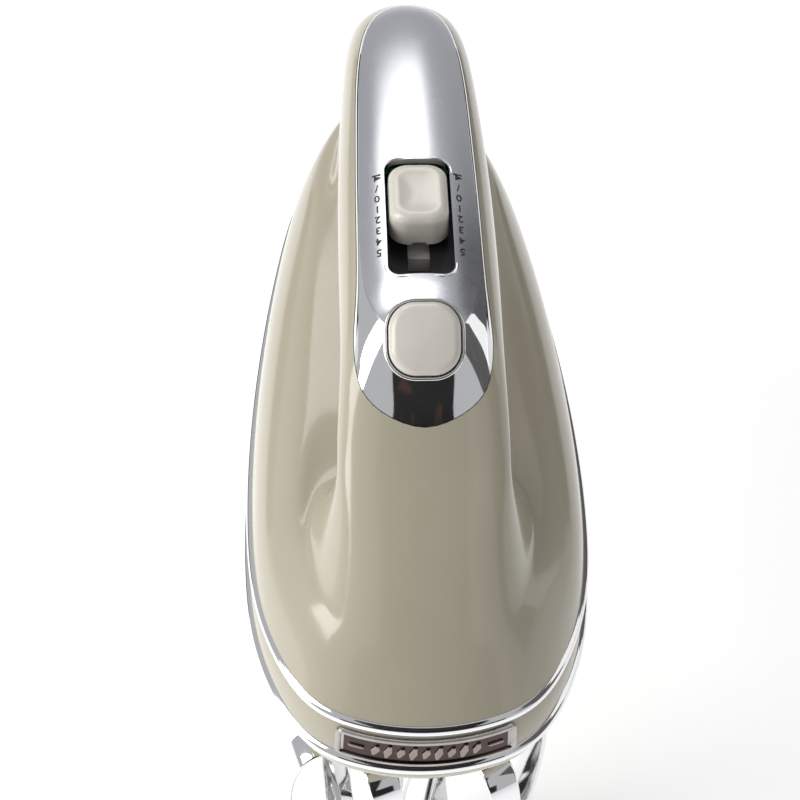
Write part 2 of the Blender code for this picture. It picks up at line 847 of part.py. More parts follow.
def cover_rim():
    """Half of the cover's outline in plan, from its front tip to its rear."""
    length = COVER_REAR_Y - COVER_FRONT_Y
    shares = (
        (0.0, 0.0, COVER_NOSE_HALF_WIDTH),
        (0.74, 0.034, COVER_NOSE_HALF_WIDTH),
        (1.0, 0.108, COVER_NOSE_HALF_WIDTH),
        (1.03, 0.264, COVER_HALF_WIDTH),
        (0.99, 0.54, COVER_HALF_WIDTH),
        (0.90, 0.815, COVER_HALF_WIDTH),
        (0.60, 0.959, COVER_HALF_WIDTH),
        (0.0, 1.0, COVER_HALF_WIDTH),
    )
    return [Vector((x * width, COVER_FRONT_Y + y * length)) for x, y, width in shares]


def cover_crest():
    """Half of the line where the cover's top face turns down into its front cap and sides."""
    length = COVER_REAR_Y - COVER_FRONT_Y
    shares = (
        (0.0, 0.108),
        (0.55, 0.126),
        (0.86, 0.19),
        (0.965, 0.294),
        (0.935, 0.54),
        (0.85, 0.812),
        (0.56, 0.951),
        (0.0, 0.991),
    )
    return [Vector((x * COVER_HALF_WIDTH, COVER_FRONT_Y + y * length)) for x, y in shares]


def lift_at(y):
    """How far the cover's top face stands above the skin: most at the front cap, little along the grip."""
    start = COVER_FRONT_Y + 0.12 * (COVER_REAR_Y - COVER_FRONT_Y)
    share = min(max((y - start) / (SLOT_FRONT_Y - start), 0.0), 1.0)
    ease = share * share * (3 - 2 * share)
    return COVER_LIFT + (COVER_SIDE_LIFT - COVER_LIFT) * ease


def cover_sheet(tree, grow=0.0, drop=0.0):
    """The cover's top surface, with its rim on the skin. It can be grown sideways and dropped."""
    rim = smooth_line(cover_rim(), 4)
    crest = smooth_line(cover_crest(), 4)
    closed = rim + [Vector((-point.x, point.y)) for point in reversed(rim[1:-1])]
    grown = offset_outline(closed, grow)[: len(rim)]
    shape = bmesh.new()
    for side in (-1, 1):
        columns = []
        for edge, seat, inner in zip(grown, rim, crest):
            column = [(edge, height_on(tree, seat.x, seat.y) - drop)]
            for share in (1.0, 0.66, 0.33, 0.0):
                place = Vector((inner.x * share, inner.y))
                column.append((place, height_on(tree, place.x, place.y) + lift_at(place.y) - drop))
            columns.append([shape.verts.new((side * spot.x, spot.y, z)) for spot, z in column])
        for before, after in zip(columns, columns[1:]):
            for row in range(4):
                shape.faces.new((before[row], before[row + 1], after[row + 1], after[row]))
    bmesh.ops.remove_doubles(shape, verts=shape.verts, dist=1e-6)
    bmesh.ops.recalc_face_normals(shape, faces=shape.faces)
    if sum(face.normal.z for face in shape.faces) < 0:
        bmesh.ops.reverse_faces(shape, faces=shape.faces)
    return shape


def sheet_block(tree, grow, drop, height):
    """A block under and over the cover's footprint, for cutting its opening."""
    shape = cover_sheet(tree, grow, drop)
    raised = bmesh.ops.extrude_face_region(shape, geom=list(shape.faces))
    top = [item for item in raised["geom"] if isinstance(item, bmesh.types.BMVert)]
    bmesh.ops.translate(shape, verts=top, vec=(0.0, 0.0, height))
    return shape


def slot_middle():
    return (SLOT_FRONT_Y + SLOT_REAR_Y) / 2


def slot_shape(grow, low, high):
    width = SLOT_WIDTH + 2 * grow
    length = SLOT_REAR_Y - SLOT_FRONT_Y + 2 * grow
    outline = rounded_rectangle(width, length, SLOT_CORNER + grow)
    return prism_shape([(x, y + slot_middle()) for x, y in outline], low, high)


def turbo_place(tree):
    """The frame of the turbo button: its origin on the cover's top face, its Z along the press axis."""
    height = height_on(tree, 0.0, TURBO_Y) + lift_at(TURBO_Y)
    return Matrix.Translation((0.0, TURBO_Y, height)) @ Matrix.Rotation(TURBO_TILT, 4, "X")


def handle_cover(tree):
    """The chromed cover: satin top, front cap, slider slot and button window."""
    obj = piece("handle_cover", cover_sheet(tree), SATIN)
    wall = obj.modifiers.new("wall", "SOLIDIFY")
    wall.thickness = COVER_WALL
    wall.offset = -1.0
    cut(obj, cutter("slider_slot", slot_shape(0.0, 0.8 * HANDLE_TOP, 1.2 * HANDLE_TOP)))
    outline = rounded_rectangle(TURBO_SIZE + 2 * GAP, TURBO_LENGTH + 2 * GAP, TURBO_CORNER + GAP)
    window = prism_shape(outline, -3 * COVER_WALL, 3 * COVER_WALL)
    window.transform(turbo_place(tree))
    cut(obj, cutter("button_window", window))
    return obj


# ---------------------------------------------------------------- speed slider and eject


def speed_knob():
    """The slider knob: a rounded block with a dished top, a sloping back and a stem to the carriage."""
    base = rounded_rectangle(KNOB_WIDTH, KNOB_LENGTH, KNOB_CORNER)
    shape = prism_shape([(x, y + KNOB_Y) for x, y in base], KNOB_BOTTOM, KNOB_TOP)
    front = KNOB_Y - KNOB_LENGTH / 2
    middle = (KNOB_BOTTOM + KNOB_TOP) / 2
    for vertex in shape.verts:
        if vertex.co.z > middle:
            vertex.co.y = front + (vertex.co.y - front) * KNOB_TOP_SHARE
            vertex.co.x *= KNOB_TOP_TAPER
    rim = [edge for edge in shape.edges if all(vertex.co.z > middle for vertex in edge.verts)]
    bmesh.ops.bevel(
        shape, geom=rim, offset=KNOB_EDGE, segments=3, profile=0.5, affect="EDGES", clamp_overlap=True
    )
    stem_bottom = BAR_TOP + GAP
    obj = piece("speed_knob", shape, PALE, Vector((0.0, KNOB_Y, KNOB_BOTTOM)))
    dish = bmesh.new()
    bmesh.ops.create_uvsphere(dish, u_segments=32, v_segments=24, radius=DISH_RADIUS)
    top_middle = front + KNOB_LENGTH * KNOB_TOP_SHARE / 2
    dish.transform(Matrix.Translation((0.0, top_middle, KNOB_TOP + DISH_RADIUS - DISH_DEPTH)))
    cut(obj, cutter("knob_dish", dish))
    notch_size = (NOTCH_WIDTH, 2 * NOTCH_DEPTH, 2 * NOTCH_DEPTH)
    notch = box_shape(notch_size, Vector((0.0, front, KNOB_BOTTOM)))
    cut(obj, cutter("knob_notch", notch))
    height = KNOB_BOTTOM + 0.2 * KNOB_HEIGHT - stem_bottom
    centre = Vector((0.0, KNOB_Y, stem_bottom + height / 2))
    cut(obj, cutter("knob_stem", box_shape((STEM_WIDTH, STEM_LENGTH, height), centre)), "UNION")
    return obj


def slider_carriage():
    centre = Vector((0.0, KNOB_Y, (CARRIAGE_TOP + CARRIAGE_BOTTOM) / 2))
    shape = box_shape((CARRIAGE_WIDTH, CARRIAGE_LENGTH, CARRIAGE_HEIGHT), centre)
    obj = piece("slider_carriage", shape, NYLON, centre)
    size = (STEM_WIDTH + 2 * GAP, STEM_LENGTH + 2 * GAP, 2 * CARRIAGE_HEIGHT)
    cut(obj, cutter("carriage_hole", box_shape(size, centre)))
    return obj


def slider_deck():
    """The dark plate seen through the slot, with a slit for the knob's stem."""
    half_width = 0.91 * HANDLE_HALF_WIDTH - WALL - 2 * GAP
    front = SLOT_FRONT_Y - DECK_OVERLAP
    rear = SLOT_REAR_Y + DECK_OVERLAP
    centre = Vector((0.0, (front + rear) / 2, DECK_TOP - DECK_THICKNESS / 2))
    obj = piece("slider_deck", box_shape((2 * half_width, rear - front, DECK_THICKNESS), centre), BLACK)
    slit_length = STEM_LENGTH + SLIDE_TRAVEL + 4 * GAP
    slit_centre = Vector((0.0, KNOB_Y - SLIDE_TRAVEL / 2, centre.z))
    slit = box_shape((STEM_WIDTH + 2 * GAP, slit_length, 2 * DECK_THICKNESS), slit_centre)
    cut(obj, cutter("deck_slit", slit))
    return obj


def strip_outline(points, thickness):
    """The closed outline of a strip of even thickness along a line of 2D points."""
    left = []
    right = []
    last = len(points) - 1
    for index, point in enumerate(points):
        before = (point - points[index - 1]).normalized() if index > 0 else None
        after = (points[index + 1] - point).normalized() if index < last else None
        if before is None or after is None:
            heading = after if before is None else before
            reach = thickness / 2
        else:
            heading = (before + after).normalized()
            reach = thickness / 2 / max(heading.dot(after), 0.5)
        normal = Vector((-heading.y, heading.x))
        left.append(point + normal * reach)
        right.append(point - normal * reach)
    return left + right[::-1]


def fork_bottom():
    return GEARBOX_TOP + SPINDLE_HEAD + STEM_HEAD + 2 * GAP


def eject_bar():
    """The bar that runs under the slider, turns down the neck and stands on the eject fork."""
    level = BAR_TOP - BAR_THICKNESS / 2
    end = fork_bottom() + FORK_THICKNESS + GAP
    route = [
        Vector((KNOB_Y + STEM_LENGTH, level)),
        Vector((along(0.306), level)),
        Vector((along(0.258), 0.84 * level)),
        Vector((along(0.218), 0.615 * level)),
        Vector((BEATER_Y + 0.4 * BEATER_X, 0.44 * level)),
        Vector((BEATER_Y + 0.3 * BEATER_X, end)),
    ]
    shape = prism_shape(strip_outline(route, BAR_THICKNESS), -BAR_WIDTH / 2, BAR_WIDTH / 2)
    swap = Matrix(((0, 0, 1, 0), (1, 0, 0, 0), (0, 1, 0, 0), (0, 0, 0, 1)))
    shape.transform(swap)
    return piece("eject_bar", shape, NYLON, Vector((0.0, KNOB_Y, level)))


def eject_fork():
    low = fork_bottom()
    size = (2 * (BEATER_X + 0.8 * STEM_RADIUS), 2 * STEM_RADIUS, FORK_THICKNESS)
    centre = Vector((0.0, BEATER_Y, low + FORK_THICKNESS / 2))
    obj = piece("eject_fork", box_shape(size, centre), NYLON, centre)
    bevel(obj, 0.5 * MM)
    return obj


def eject_spring():
    low = GEARBOX_TOP + 2 * GAP + WIRE_RADIUS
    high = fork_bottom() - 2 * GAP - WIRE_RADIUS
    centre = Vector((0.0, BEATER_Y, 0.0))
    points = coil_points(EJECT_SPRING_RADIUS, low, high, 3.5, centre, per_turn=10)
    return wire("eject_spring", points, WIRE_RADIUS, STEEL)


# ---------------------------------------------------------------- turbo button


def turbo_button(tree):
    place = turbo_place(tree)
    low = TURBO_PROUD - TURBO_HEIGHT
    outline = rounded_rectangle(TURBO_SIZE, TURBO_LENGTH, TURBO_CORNER)
    shape = prism_shape(outline, low, TURBO_PROUD)
    rim = [edge for edge in shape.edges if all(vertex.co.z > 0 for vertex in edge.verts)]
    bmesh.ops.bevel(
        shape, geom=rim, offset=TURBO_EDGE, segments=3, profile=0.5, affect="EDGES", clamp_overlap=True
    )
    shape.transform(place)
    obj = piece("turbo_button", shape, PALE, place.translation)
    centre = Vector((0.0, 0.0, low + (0.3 * TURBO_HEIGHT - TURBO_STEM_LENGTH) / 2))
    stem = rod_shape(TURBO_STEM_RADIUS, TURBO_STEM_LENGTH + 0.3 * TURBO_HEIGHT, centre, segments=16)
    stem.transform(place)
    cut(obj, cutter("button_stem", stem), "UNION")
    return obj


def switch_top():
    """The top of the turbo switch in the button's frame."""
    return TURBO_PROUD - TURBO_HEIGHT - TURBO_STEM_LENGTH - TURBO_TRAVEL - GAP


def turbo_switch(tree):
    centre = Vector((0.0, 0.0, switch_top() - TURBO_SWITCH_HEIGHT / 2))
    shape = box_shape((TURBO_SWITCH_SIZE, TURBO_SWITCH_SIZE, TURBO_SWITCH_HEIGHT), centre)
    shape.transform(turbo_place(tree))
    return piece("turbo_switch", shape, BLACK)


def turbo_spring(tree):
    low = switch_top() + GAP + WIRE_RADIUS
    high = TURBO_PROUD - TURBO_HEIGHT - GAP - WIRE_RADIUS
    points = coil_points(TURBO_SPRING_RADIUS, low, high, 3.5, Vector(), per_turn=10)
    place = turbo_place(tree)
    return wire("turbo_spring", [place @ point for point in points], WIRE_RADIUS, STEEL)


# ---------------------------------------------------------------- electrics in the grip and the tail


def handle_electrics():
    """The speed switch, the control board over it and the suppressor block in the tail."""
    front = SLOT_REAR_Y + DECK_OVERLAP + SWITCH_OFFSET
    low = HANDLE_TOP - HANDLE_DEPTH + WALL + SWITCH_STAND
    size = (SWITCH_WIDTH, SWITCH_LENGTH, SWITCH_HEIGHT)
    centre = Vector((0.0, front + SWITCH_LENGTH / 2, low + SWITCH_HEIGHT / 2))
    switch = piece("speed_switch", box_shape(size, centre), BLACK)
    bevel(switch, 0.8 * MM)
    board_z = low + SWITCH_HEIGHT + 2 * GAP + BOARD_THICKNESS / 2
    board_centre = Vector((0.0, front + SWITCH_LENGTH / 2, board_z))
    board_size = (SWITCH_WIDTH, BOARD_LENGTH, BOARD_THICKNESS)
    piece("control_board", box_shape(board_size, board_centre), BOARD)
    block_y = fan_front() + FAN_WIDTH + BLOCK_OFFSET + BLOCK_LENGTH / 2
    block_centre = Vector((0.0, block_y, 0.5 * PAN_BOTTOM))
    block_size = (BLOCK_WIDTH, BLOCK_LENGTH, BLOCK_HEIGHT)
    block = piece("suppressor_block", box_shape(block_size, block_centre), BLACK)
    bevel(block, 1.0 * MM)


def cord_gland(surface_tree):
    """The rubber inlet in the tail, where the cord goes in."""
    start = Vector((0.0, TAIL_Y + 0.1, GLAND_Z))
    wall = surface_tree.ray_cast(start, Vector((0.0, -1.0, 0.0)))[0]
    centre = Vector((0.0, wall.y + GLAND_PROUD - GLAND_LENGTH / 2, GLAND_Z))
    profile = tube_profile(GLAND_BORE, GLAND_RADIUS, GLAND_LENGTH, 0.6 * MM)
    return turned("cord_gland", profile, RUBBER, centre, (0.0, 1.0, 0.0), steps=24)


def gland_hole():
    centre = Vector((0.0, TAIL_Y, GLAND_Z))
    return cutter("gland_hole", rod_shape(GLAND_RADIUS + GAP, 0.06, centre, (0.0, 1.0, 0.0), 24))


# ---------------------------------------------------------------- motor


def motor_axis(y):
    return Vector((0.0, y, AXIS_Z))


TURN_TO_Y = Matrix.Rotation(math.radians(-90.0), 4, "X")


def along_motor(shape, y):
    """Turns a shape built along +Z to lie along +Y on the motor's axis, starting at y."""
    shape.transform(Matrix.Translation(motor_axis(y)) @ TURN_TO_Y)
    return shape


def toothed_outline(root, tip, teeth, share=0.5):
    """An outline with straight-sided teeth that narrow towards their tips."""
    points = []
    pitch = 2 * math.pi / teeth
    for tooth in range(teeth):
        for offset, radius in ((-0.5, root), (-0.28, tip), (0.28, tip), (0.5, root)):
            angle = pitch * (tooth + offset * 2 * share)
            points.append((radius * math.cos(angle), radius * math.sin(angle)))
    return points


def motor_stator():
    """The stack of laminations, with the rotor's bore and the windows for the field coils."""
    outline = rounded_rectangle(STACK_SIZE, STACK_SIZE, STACK_CORNER, steps=3)
    stack = along_motor(prism_shape(outline, 0.0, STACK_LENGTH), MOTOR_FRONT_Y)
    obj = piece("motor_stator", stack, LAMINATION)
    centre = motor_axis(MOTOR_FRONT_Y + STACK_LENGTH / 2)
    length = 2 * STACK_LENGTH
    cut(obj, cutter("rotor_bore", rod_shape(BORE_RADIUS, length, centre, (0.0, 1.0, 0.0), 32)))
    window = 2 * (coil_side_x() + COIL_RADIUS + 2 * GAP)
    height = 2 * (coil_side_z() + COIL_RADIUS + 2 * GAP)
    cut(obj, cutter("coil_windows", box_shape((window, length, height), centre)))
    return obj


def coil_side_x():
    return ROTOR_RADIUS + COIL_RADIUS + 2 * GAP


def coil_side_z():
    return COIL_RADIUS + GAP


def field_coil(name, side):
    """One field winding: two straight sides in the windows, and ends that arch over the rotor."""
    x = coil_side_x()
    low = coil_side_z()
    arch = BORE_RADIUS + COIL_RADIUS
    front = MOTOR_FRONT_Y - COIL_RADIUS - 1.0 * MM
    rear = MOTOR_FRONT_Y + STACK_LENGTH + COIL_RADIUS + 1.0 * MM
    corners = [
        (x, front, low),
        (0.8 * x, front, 0.8 * arch),
        (0.3 * x, front, arch),
        (-0.3 * x, front, arch),
        (-0.8 * x, front, 0.8 * arch),
        (-x, front, low),
        (-x, rear, low),
        (-0.8 * x, rear, 0.8 * arch),
        (-0.3 * x, rear, arch),
        (0.3 * x, rear, arch),
        (0.8 * x, rear, 0.8 * arch),
        (x, rear, low),
    ]
    points = [Vector((px, py, AXIS_Z + side * pz)) for px, py, pz in corners]
    return wire(name, points, COIL_RADIUS, COPPER, closed=True)


def commutator_front():
    return MOTOR_FRONT_Y + STACK_LENGTH + COMMUTATOR_OFFSET


def rear_bracket_y():
    return commutator_front() + COMMUTATOR_LENGTH + BRACKET_OFFSET


def fan_front():
    return rear_bracket_y() + BRACKET_WIDTH + FAN_OFFSET


def motor_rotor():
    """The rotor: shaft, laminated core, windings, commutator, worm and fan."""
    origin = motor_axis(MOTOR_FRONT_Y + STACK_LENGTH / 2)
    shaft_front = BEATER_Y - WORM_LENGTH / 2 - NOSE_BUSH_LENGTH - GAP
    shaft_rear = fan_front() + FAN_WIDTH + 1.0 * MM
    half = (shaft_rear - shaft_front) / 2
    shaft_profile = [
        (0.0, half),
        (SHAFT_RADIUS - 0.4 * MM, half),
        (SHAFT_RADIUS, half - 0.4 * MM),
        (SHAFT_RADIUS, 0.4 * MM - half),
        (SHAFT_RADIUS - 0.4 * MM, -half),
        (0.0, -half),
    ]
    centre = motor_axis((shaft_front + shaft_rear) / 2)
    turned("motor_shaft", shaft_profile, STEEL, centre, (0.0, 1.0, 0.0), steps=24)
    core_length = STACK_LENGTH - 2.0 * MM
    core = prism_shape(toothed_outline(ROTOR_RADIUS - 2.0 * MM, ROTOR_RADIUS, 12, 0.5), 0.0, core_length)
    obj = piece("armature_core", along_motor(core, origin.y - core_length / 2), LAMINATION, origin)
    shaft_hole(obj, origin, core_length)
    ring = tube_profile(SHAFT_RADIUS + GAP, WINDING_RADIUS, WINDING_LENGTH, 1.5 * MM)
    reach = (core_length + WINDING_LENGTH) / 2 + GAP
    for name, way in (("armature_winding_front", -1), ("armature_winding_rear", 1)):
        turned(name, ring, COPPER, motor_axis(origin.y + way * reach), (0.0, 1.0, 0.0), steps=24)
    bars = toothed_outline(COMMUTATOR_RADIUS - 0.8 * MM, COMMUTATOR_RADIUS, 16, 0.5)
    commutator = along_motor(prism_shape(bars, 0.0, COMMUTATOR_LENGTH), commutator_front())
    middle = motor_axis(commutator_front() + COMMUTATOR_LENGTH / 2)
    shaft_hole(piece("commutator", commutator, BRASS, middle), middle, COMMUTATOR_LENGTH)
    worm()
    cooling_fan()


def shaft_hole(obj, centre, length):
    tool = rod_shape(SHAFT_RADIUS + GAP, 2 * length, centre, (0.0, 1.0, 0.0), 24)
    cut(obj, cutter(obj.name + "_bore", tool))


def worm():
    """The worm: a lobed section stacked along the shaft and turned step by step."""
    steps = 16
    sides = 12
    shape = bmesh.new()
    rim = []
    bore = []
    for index in range(sides):
        angle = 2 * math.pi * index / sides
        ridge = 0.5 + 0.5 * math.cos(WORM_STARTS * angle)
        radius = WORM_RADIUS - WORM_THREAD * (1 - ridge)
        inner = SHAFT_RADIUS + GAP
        rim.append(shape.verts.new((radius * math.cos(angle), radius * math.sin(angle), 0.0)))
        bore.append(shape.verts.new((inner * math.cos(angle), inner * math.sin(angle), 0.0)))
    bridge(shape, rim, bore)
    faces = list(shape.faces)
    turn = Matrix.Rotation(2 * math.pi * WORM_TURNS / steps, 3, "Z")
    for step in range(steps):
        raised = bmesh.ops.extrude_face_region(shape, geom=faces)
        if step > 0:
            bmesh.ops.delete(shape, geom=faces, context="FACES_ONLY")
        top = [item for item in raised["geom"] if isinstance(item, bmesh.types.BMVert)]
        faces = [item for item in raised["geom"] if isinstance(item, bmesh.types.BMFace)]
        bmesh.ops.rotate(shape, verts=top, cent=(0.0, 0.0, 0.0), matrix=turn)
        bmesh.ops.translate(shape, verts=top, vec=(0.0, 0.0, WORM_LENGTH / steps))
    bmesh.ops.triangulate(shape, faces=shape.faces)
    middle = motor_axis(BEATER_Y)
    return piece("worm", along_motor(shape, BEATER_Y - WORM_LENGTH / 2), STEEL, middle)


def cooling_fan():
    """The fan: a hub, a back plate and straight blades, joined into one body."""
    middle = motor_axis(fan_front() + FAN_WIDTH / 2)
    hub = rod_shape(FAN_HUB_RADIUS, FAN_WIDTH, middle, (0.0, 1.0, 0.0), 24)
    obj = piece("cooling_fan", hub, NYLON, middle)
    plate_y = fan_front() + 0.75 * MM
    plate = rod_shape(FAN_RADIUS, 1.5 * MM, motor_axis(plate_y), (0.0, 1.0, 0.0), 36)
    cut(obj, cutter("fan_plate", plate), "UNION")
    blades = bmesh.new()
    reach = (FAN_RADIUS - 1.0 * MM + 0.8 * FAN_HUB_RADIUS) / 2
    length = FAN_RADIUS - 1.0 * MM - 0.8 * FAN_HUB_RADIUS
    for number in range(FAN_BLADES):
        spin = Matrix.Rotation(2 * math.pi * number / FAN_BLADES, 4, "Z")
        size = Matrix.Diagonal((length, 1.2 * MM, FAN_WIDTH - 0.6 * MM, 1.0))
        place = spin @ Matrix.Translation((reach, 0.0, FAN_WIDTH / 2)) @ size
        bmesh.ops.create_cube(blades, size=1.0, matrix=place)
    cut(obj, cutter("fan_blades", along_motor(blades, fan_front())), "UNION")
    shaft_hole(obj, middle, FAN_WIDTH)
    return obj


def bearing(name, y):
    profile = tube_profile(SHAFT_RADIUS + GAP, BEARING_RADIUS, BEARING_WIDTH, 0.6 * MM)
    return turned(name, profile, STEEL, motor_axis(y + BEARING_WIDTH / 2), (0.0, 1.0, 0.0), steps=28)


def motor_bracket(name, y):
    """A plate across the body that holds a bearing on the motor's axis."""
    low = PAN_BOTTOM + PAN_FLOOR + GAP
    high = AXIS_Z + 0.45 * STACK_SIZE
    centre = Vector((0.0, y + BRACKET_WIDTH / 2, (low + high) / 2))
    obj = piece(name, box_shape((BRACKET_SPAN, BRACKET_WIDTH, high - low), centre), LAMINATION)
    bevel(obj, 0.6 * MM, segments=1)
    hole = rod_shape(BEARING_RADIUS + GAP, 4 * BRACKET_WIDTH, motor_axis(centre.y), (0.0, 1.0, 0.0), 28)
    cut(obj, cutter(name + "_seat", hole))
    return obj


def brush_gear():
    """The insulating brush plate, two brass holders and two carbon brushes at the commutator."""
    plate_y = commutator_front() + COMMUTATOR_LENGTH + 1.5 * MM
    ring = tube_profile(COMMUTATOR_RADIUS + 2.0 * MM, 0.45 * STACK_SIZE, BRUSH_PLATE, 0.5 * MM)
    turned("brush_plate", ring, BLACK, motor_axis(plate_y), (0.0, 1.0, 0.0), steps=32)
    holder_y = plate_y - BRUSH_PLATE / 2 - GAP - HOLDER_SIZE / 2
    start = COMMUTATOR_RADIUS + 1.5 * MM
    for name, side in (("left", -1), ("right", 1)):
        centre = Vector((side * (start + HOLDER_LENGTH / 2), holder_y, AXIS_Z))
        shell = box_shape((HOLDER_LENGTH, HOLDER_SIZE, HOLDER_SIZE), centre)
        holder = piece("brush_holder_" + name, shell, BRASS, centre)
        hollow = BRUSH_SIZE + 2 * GAP
        tunnel = box_shape((2 * HOLDER_LENGTH, hollow, hollow), centre)
        cut(holder, cutter("brush_tunnel_" + name, tunnel))
        brush_centre = Vector((side * (COMMUTATOR_RADIUS + GAP + BRUSH_LENGTH / 2), holder_y, AXIS_Z))
        brush = box_shape((BRUSH_LENGTH, BRUSH_SIZE, BRUSH_SIZE), brush_centre)
        piece("carbon_brush_" + name, brush, CARBON, brush_centre)


# ---------------------------------------------------------------- gearbox


def wheel_radius():
    return BEATER_X - WORM_RADIUS - GAP


def pillar_places():
    """The four corners of the gearbox, where its pillars stand and the housing screws come up."""
    x = GEARBOX_HALF_WIDTH - PILLAR_SIZE
    ends = (GEARBOX_FRONT + PILLAR_SIZE, GEARBOX_REAR - PILLAR_SIZE)
    return [(side * x, y) for side in (-1, 1) for y in ends]


def gearbox_base():
    """The base plate with four pillars and the nose block that carries the end of the shaft."""
    low = PAN_BOTTOM + PAN_FLOOR + GAP
    length = GEARBOX_REAR - GEARBOX_FRONT
    middle_y = (GEARBOX_REAR + GEARBOX_FRONT) / 2
    plate_centre = Vector((0.0, middle_y, low + BASE_THICKNESS / 2))
    plate_size = (2 * GEARBOX_HALF_WIDTH, length, BASE_THICKNESS)
    obj = piece("gearbox_base", box_shape(plate_size, plate_centre), NYLON)
    posts = bmesh.new()
    post_low = low + 0.5 * BASE_THICKNESS
    post_high = GEARBOX_TOP - TOP_THICKNESS - GAP
    for x, y in pillar_places():
        add_rod(posts, PILLAR_SIZE, post_high - post_low, Vector((x, y, (post_low + post_high) / 2)), 16)
    block_y = GEARBOX_FRONT + NOSE_BUSH_LENGTH / 2
    block_centre = Vector((0.0, block_y, (post_low + post_high) / 2))
    add_box(posts, (NOSE_BLOCK_WIDTH, NOSE_BUSH_LENGTH, post_high - post_low), block_centre)
    cut(obj, cutter("gearbox_posts", posts), "UNION")
    holes = bmesh.new()
    for side in (-1, 1):
        centre = Vector((side * BEATER_X, BEATER_Y, plate_centre.z))
        add_rod(holes, SPINDLE_RADIUS + BUSH_WALL + 2 * GAP, 2 * BASE_THICKNESS, centre, 28)
    depth = SCREW_LENGTH + GAP
    for x, y in pillar_places():
        add_rod(holes, SCREW_RADIUS + GAP, 2 * (depth - PAN_FLOOR), Vector((x, y, low)), 12)
    cut(obj, cutter("gearbox_holes", holes))
    bore = rod_shape(SHAFT_RADIUS + 2 * GAP, 3 * NOSE_BUSH_LENGTH, motor_axis(block_y), (0.0, 1.0, 0.0), 24)
    cut(obj, cutter("nose_bore", bore))
    return obj


def gearbox_top():
    length = GEARBOX_REAR - GEARBOX_FRONT
    centre = Vector((0.0, (GEARBOX_REAR + GEARBOX_FRONT) / 2, GEARBOX_TOP - TOP_THICKNESS / 2))
    obj = piece("gearbox_top", box_shape((2 * GEARBOX_HALF_WIDTH, length, TOP_THICKNESS), centre), NYLON)
    bevel(obj, 0.6 * MM, segments=1)
    holes = bmesh.new()
    for side in (-1, 1):
        place = Vector((side * BEATER_X, BEATER_Y, centre.z))
        add_rod(holes, SPINDLE_RADIUS + GAP, 3 * TOP_THICKNESS, place, 28)
    cut(obj, cutter("top_holes", holes))
    return obj


def spindle_set(name, side, phase):
    """One output: worm wheel, hollow spindle, its bush and the beater that plugs into it."""
    x = side * BEATER_X
    root = wheel_radius() - TOOTH_DEPTH
    outline = toothed_outline(root, wheel_radius(), WHEEL_TEETH, 0.5)
    low = AXIS_Z - WHEEL_THICKNESS / 2
    wheel = prism_shape(outline, low, low + WHEEL_THICKNESS)
    wheel.transform(Matrix.Translation((x, BEATER_Y, 0.0)))
    middle = Vector((x, BEATER_Y, AXIS_Z))
    obj = piece("worm_wheel_" + name, wheel, NYLON, middle)
    cut(obj, cutter("wheel_bore_" + name, rod_shape(SPINDLE_RADIUS + GAP, 2 * WHEEL_THICKNESS, middle)))
    top = GEARBOX_TOP + SPINDLE_HEAD
    length = top - SPINDLE_BOTTOM
    tube = tube_profile(STEM_RADIUS + GAP, SPINDLE_RADIUS, length, 0.5 * MM)
    turned("spindle_" + name, tube, STEEL, Vector((x, BEATER_Y, (top + SPINDLE_BOTTOM) / 2)), steps=28)
    bush_low = PAN_BOTTOM + PAN_FLOOR + 2 * GAP
    bush = tube_profile(SPINDLE_RADIUS + GAP, SPINDLE_RADIUS + GAP + BUSH_WALL, BASE_THICKNESS - GAP)
    bush_centre = Vector((x, BEATER_Y, bush_low + (BASE_THICKNESS - GAP) / 2))
    turned("spindle_bush_" + name, bush, BRASS, bush_centre, steps=28)
    beater_stem(name, x)
    beater_loop("beater_loop_" + name + "_outer", x, phase, 0.0)
    beater_loop("beater_loop_" + name + "_inner", x, phase + math.radians(90.0), LOOP_STAGGER)


# ---------------------------------------------------------------- beaters


def beater_stem(name, x):
    """The beater's shaft with its collar and the hub under it."""
    top = GEARBOX_TOP + SPINDLE_HEAD + STEM_HEAD
    profile = [
        (0.0, top),
        (0.6 * STEM_RADIUS, top),
        (STEM_RADIUS, top - 2.0 * MM),
        (STEM_RADIUS, COLLAR_TOP),
        (0.92 * COLLAR_RADIUS, COLLAR_TOP),
        (COLLAR_RADIUS, COLLAR_TOP - 0.6 * MM),
        (COLLAR_RADIUS, COLLAR_BOTTOM + 1.0 * MM),
        (COLLAR_RADIUS - 1.0 * MM, COLLAR_BOTTOM),
        (0.45 * COLLAR_RADIUS, COLLAR_BOTTOM - HUB_HEIGHT),
        (0.0, COLLAR_BOTTOM - HUB_HEIGHT),
    ]
    return turned("beater_stem_" + name, profile, CHROME, Vector((x, BEATER_Y, 0.0)), steps=28)


def loop_route(stagger):
    """The loop's middle line in its own plane, from one side of the collar round the bottom to the other."""
    start = COLLAR_RADIUS + GAP
    shares = ((0.0, 0.0), (0.55, -0.01), (0.87, 0.06), (1.0, 0.2), (0.96, 0.45), (0.75, 0.75), (0.42, 0.94))
    half = []
    height = CAGE_HEIGHT - stagger
    for out, down in shares:
        half.append(Vector((start + out * (CAGE_RADIUS - start), LOOP_TOP - down * height)))
    return half, Vector((0.0, LOOP_TOP - height))


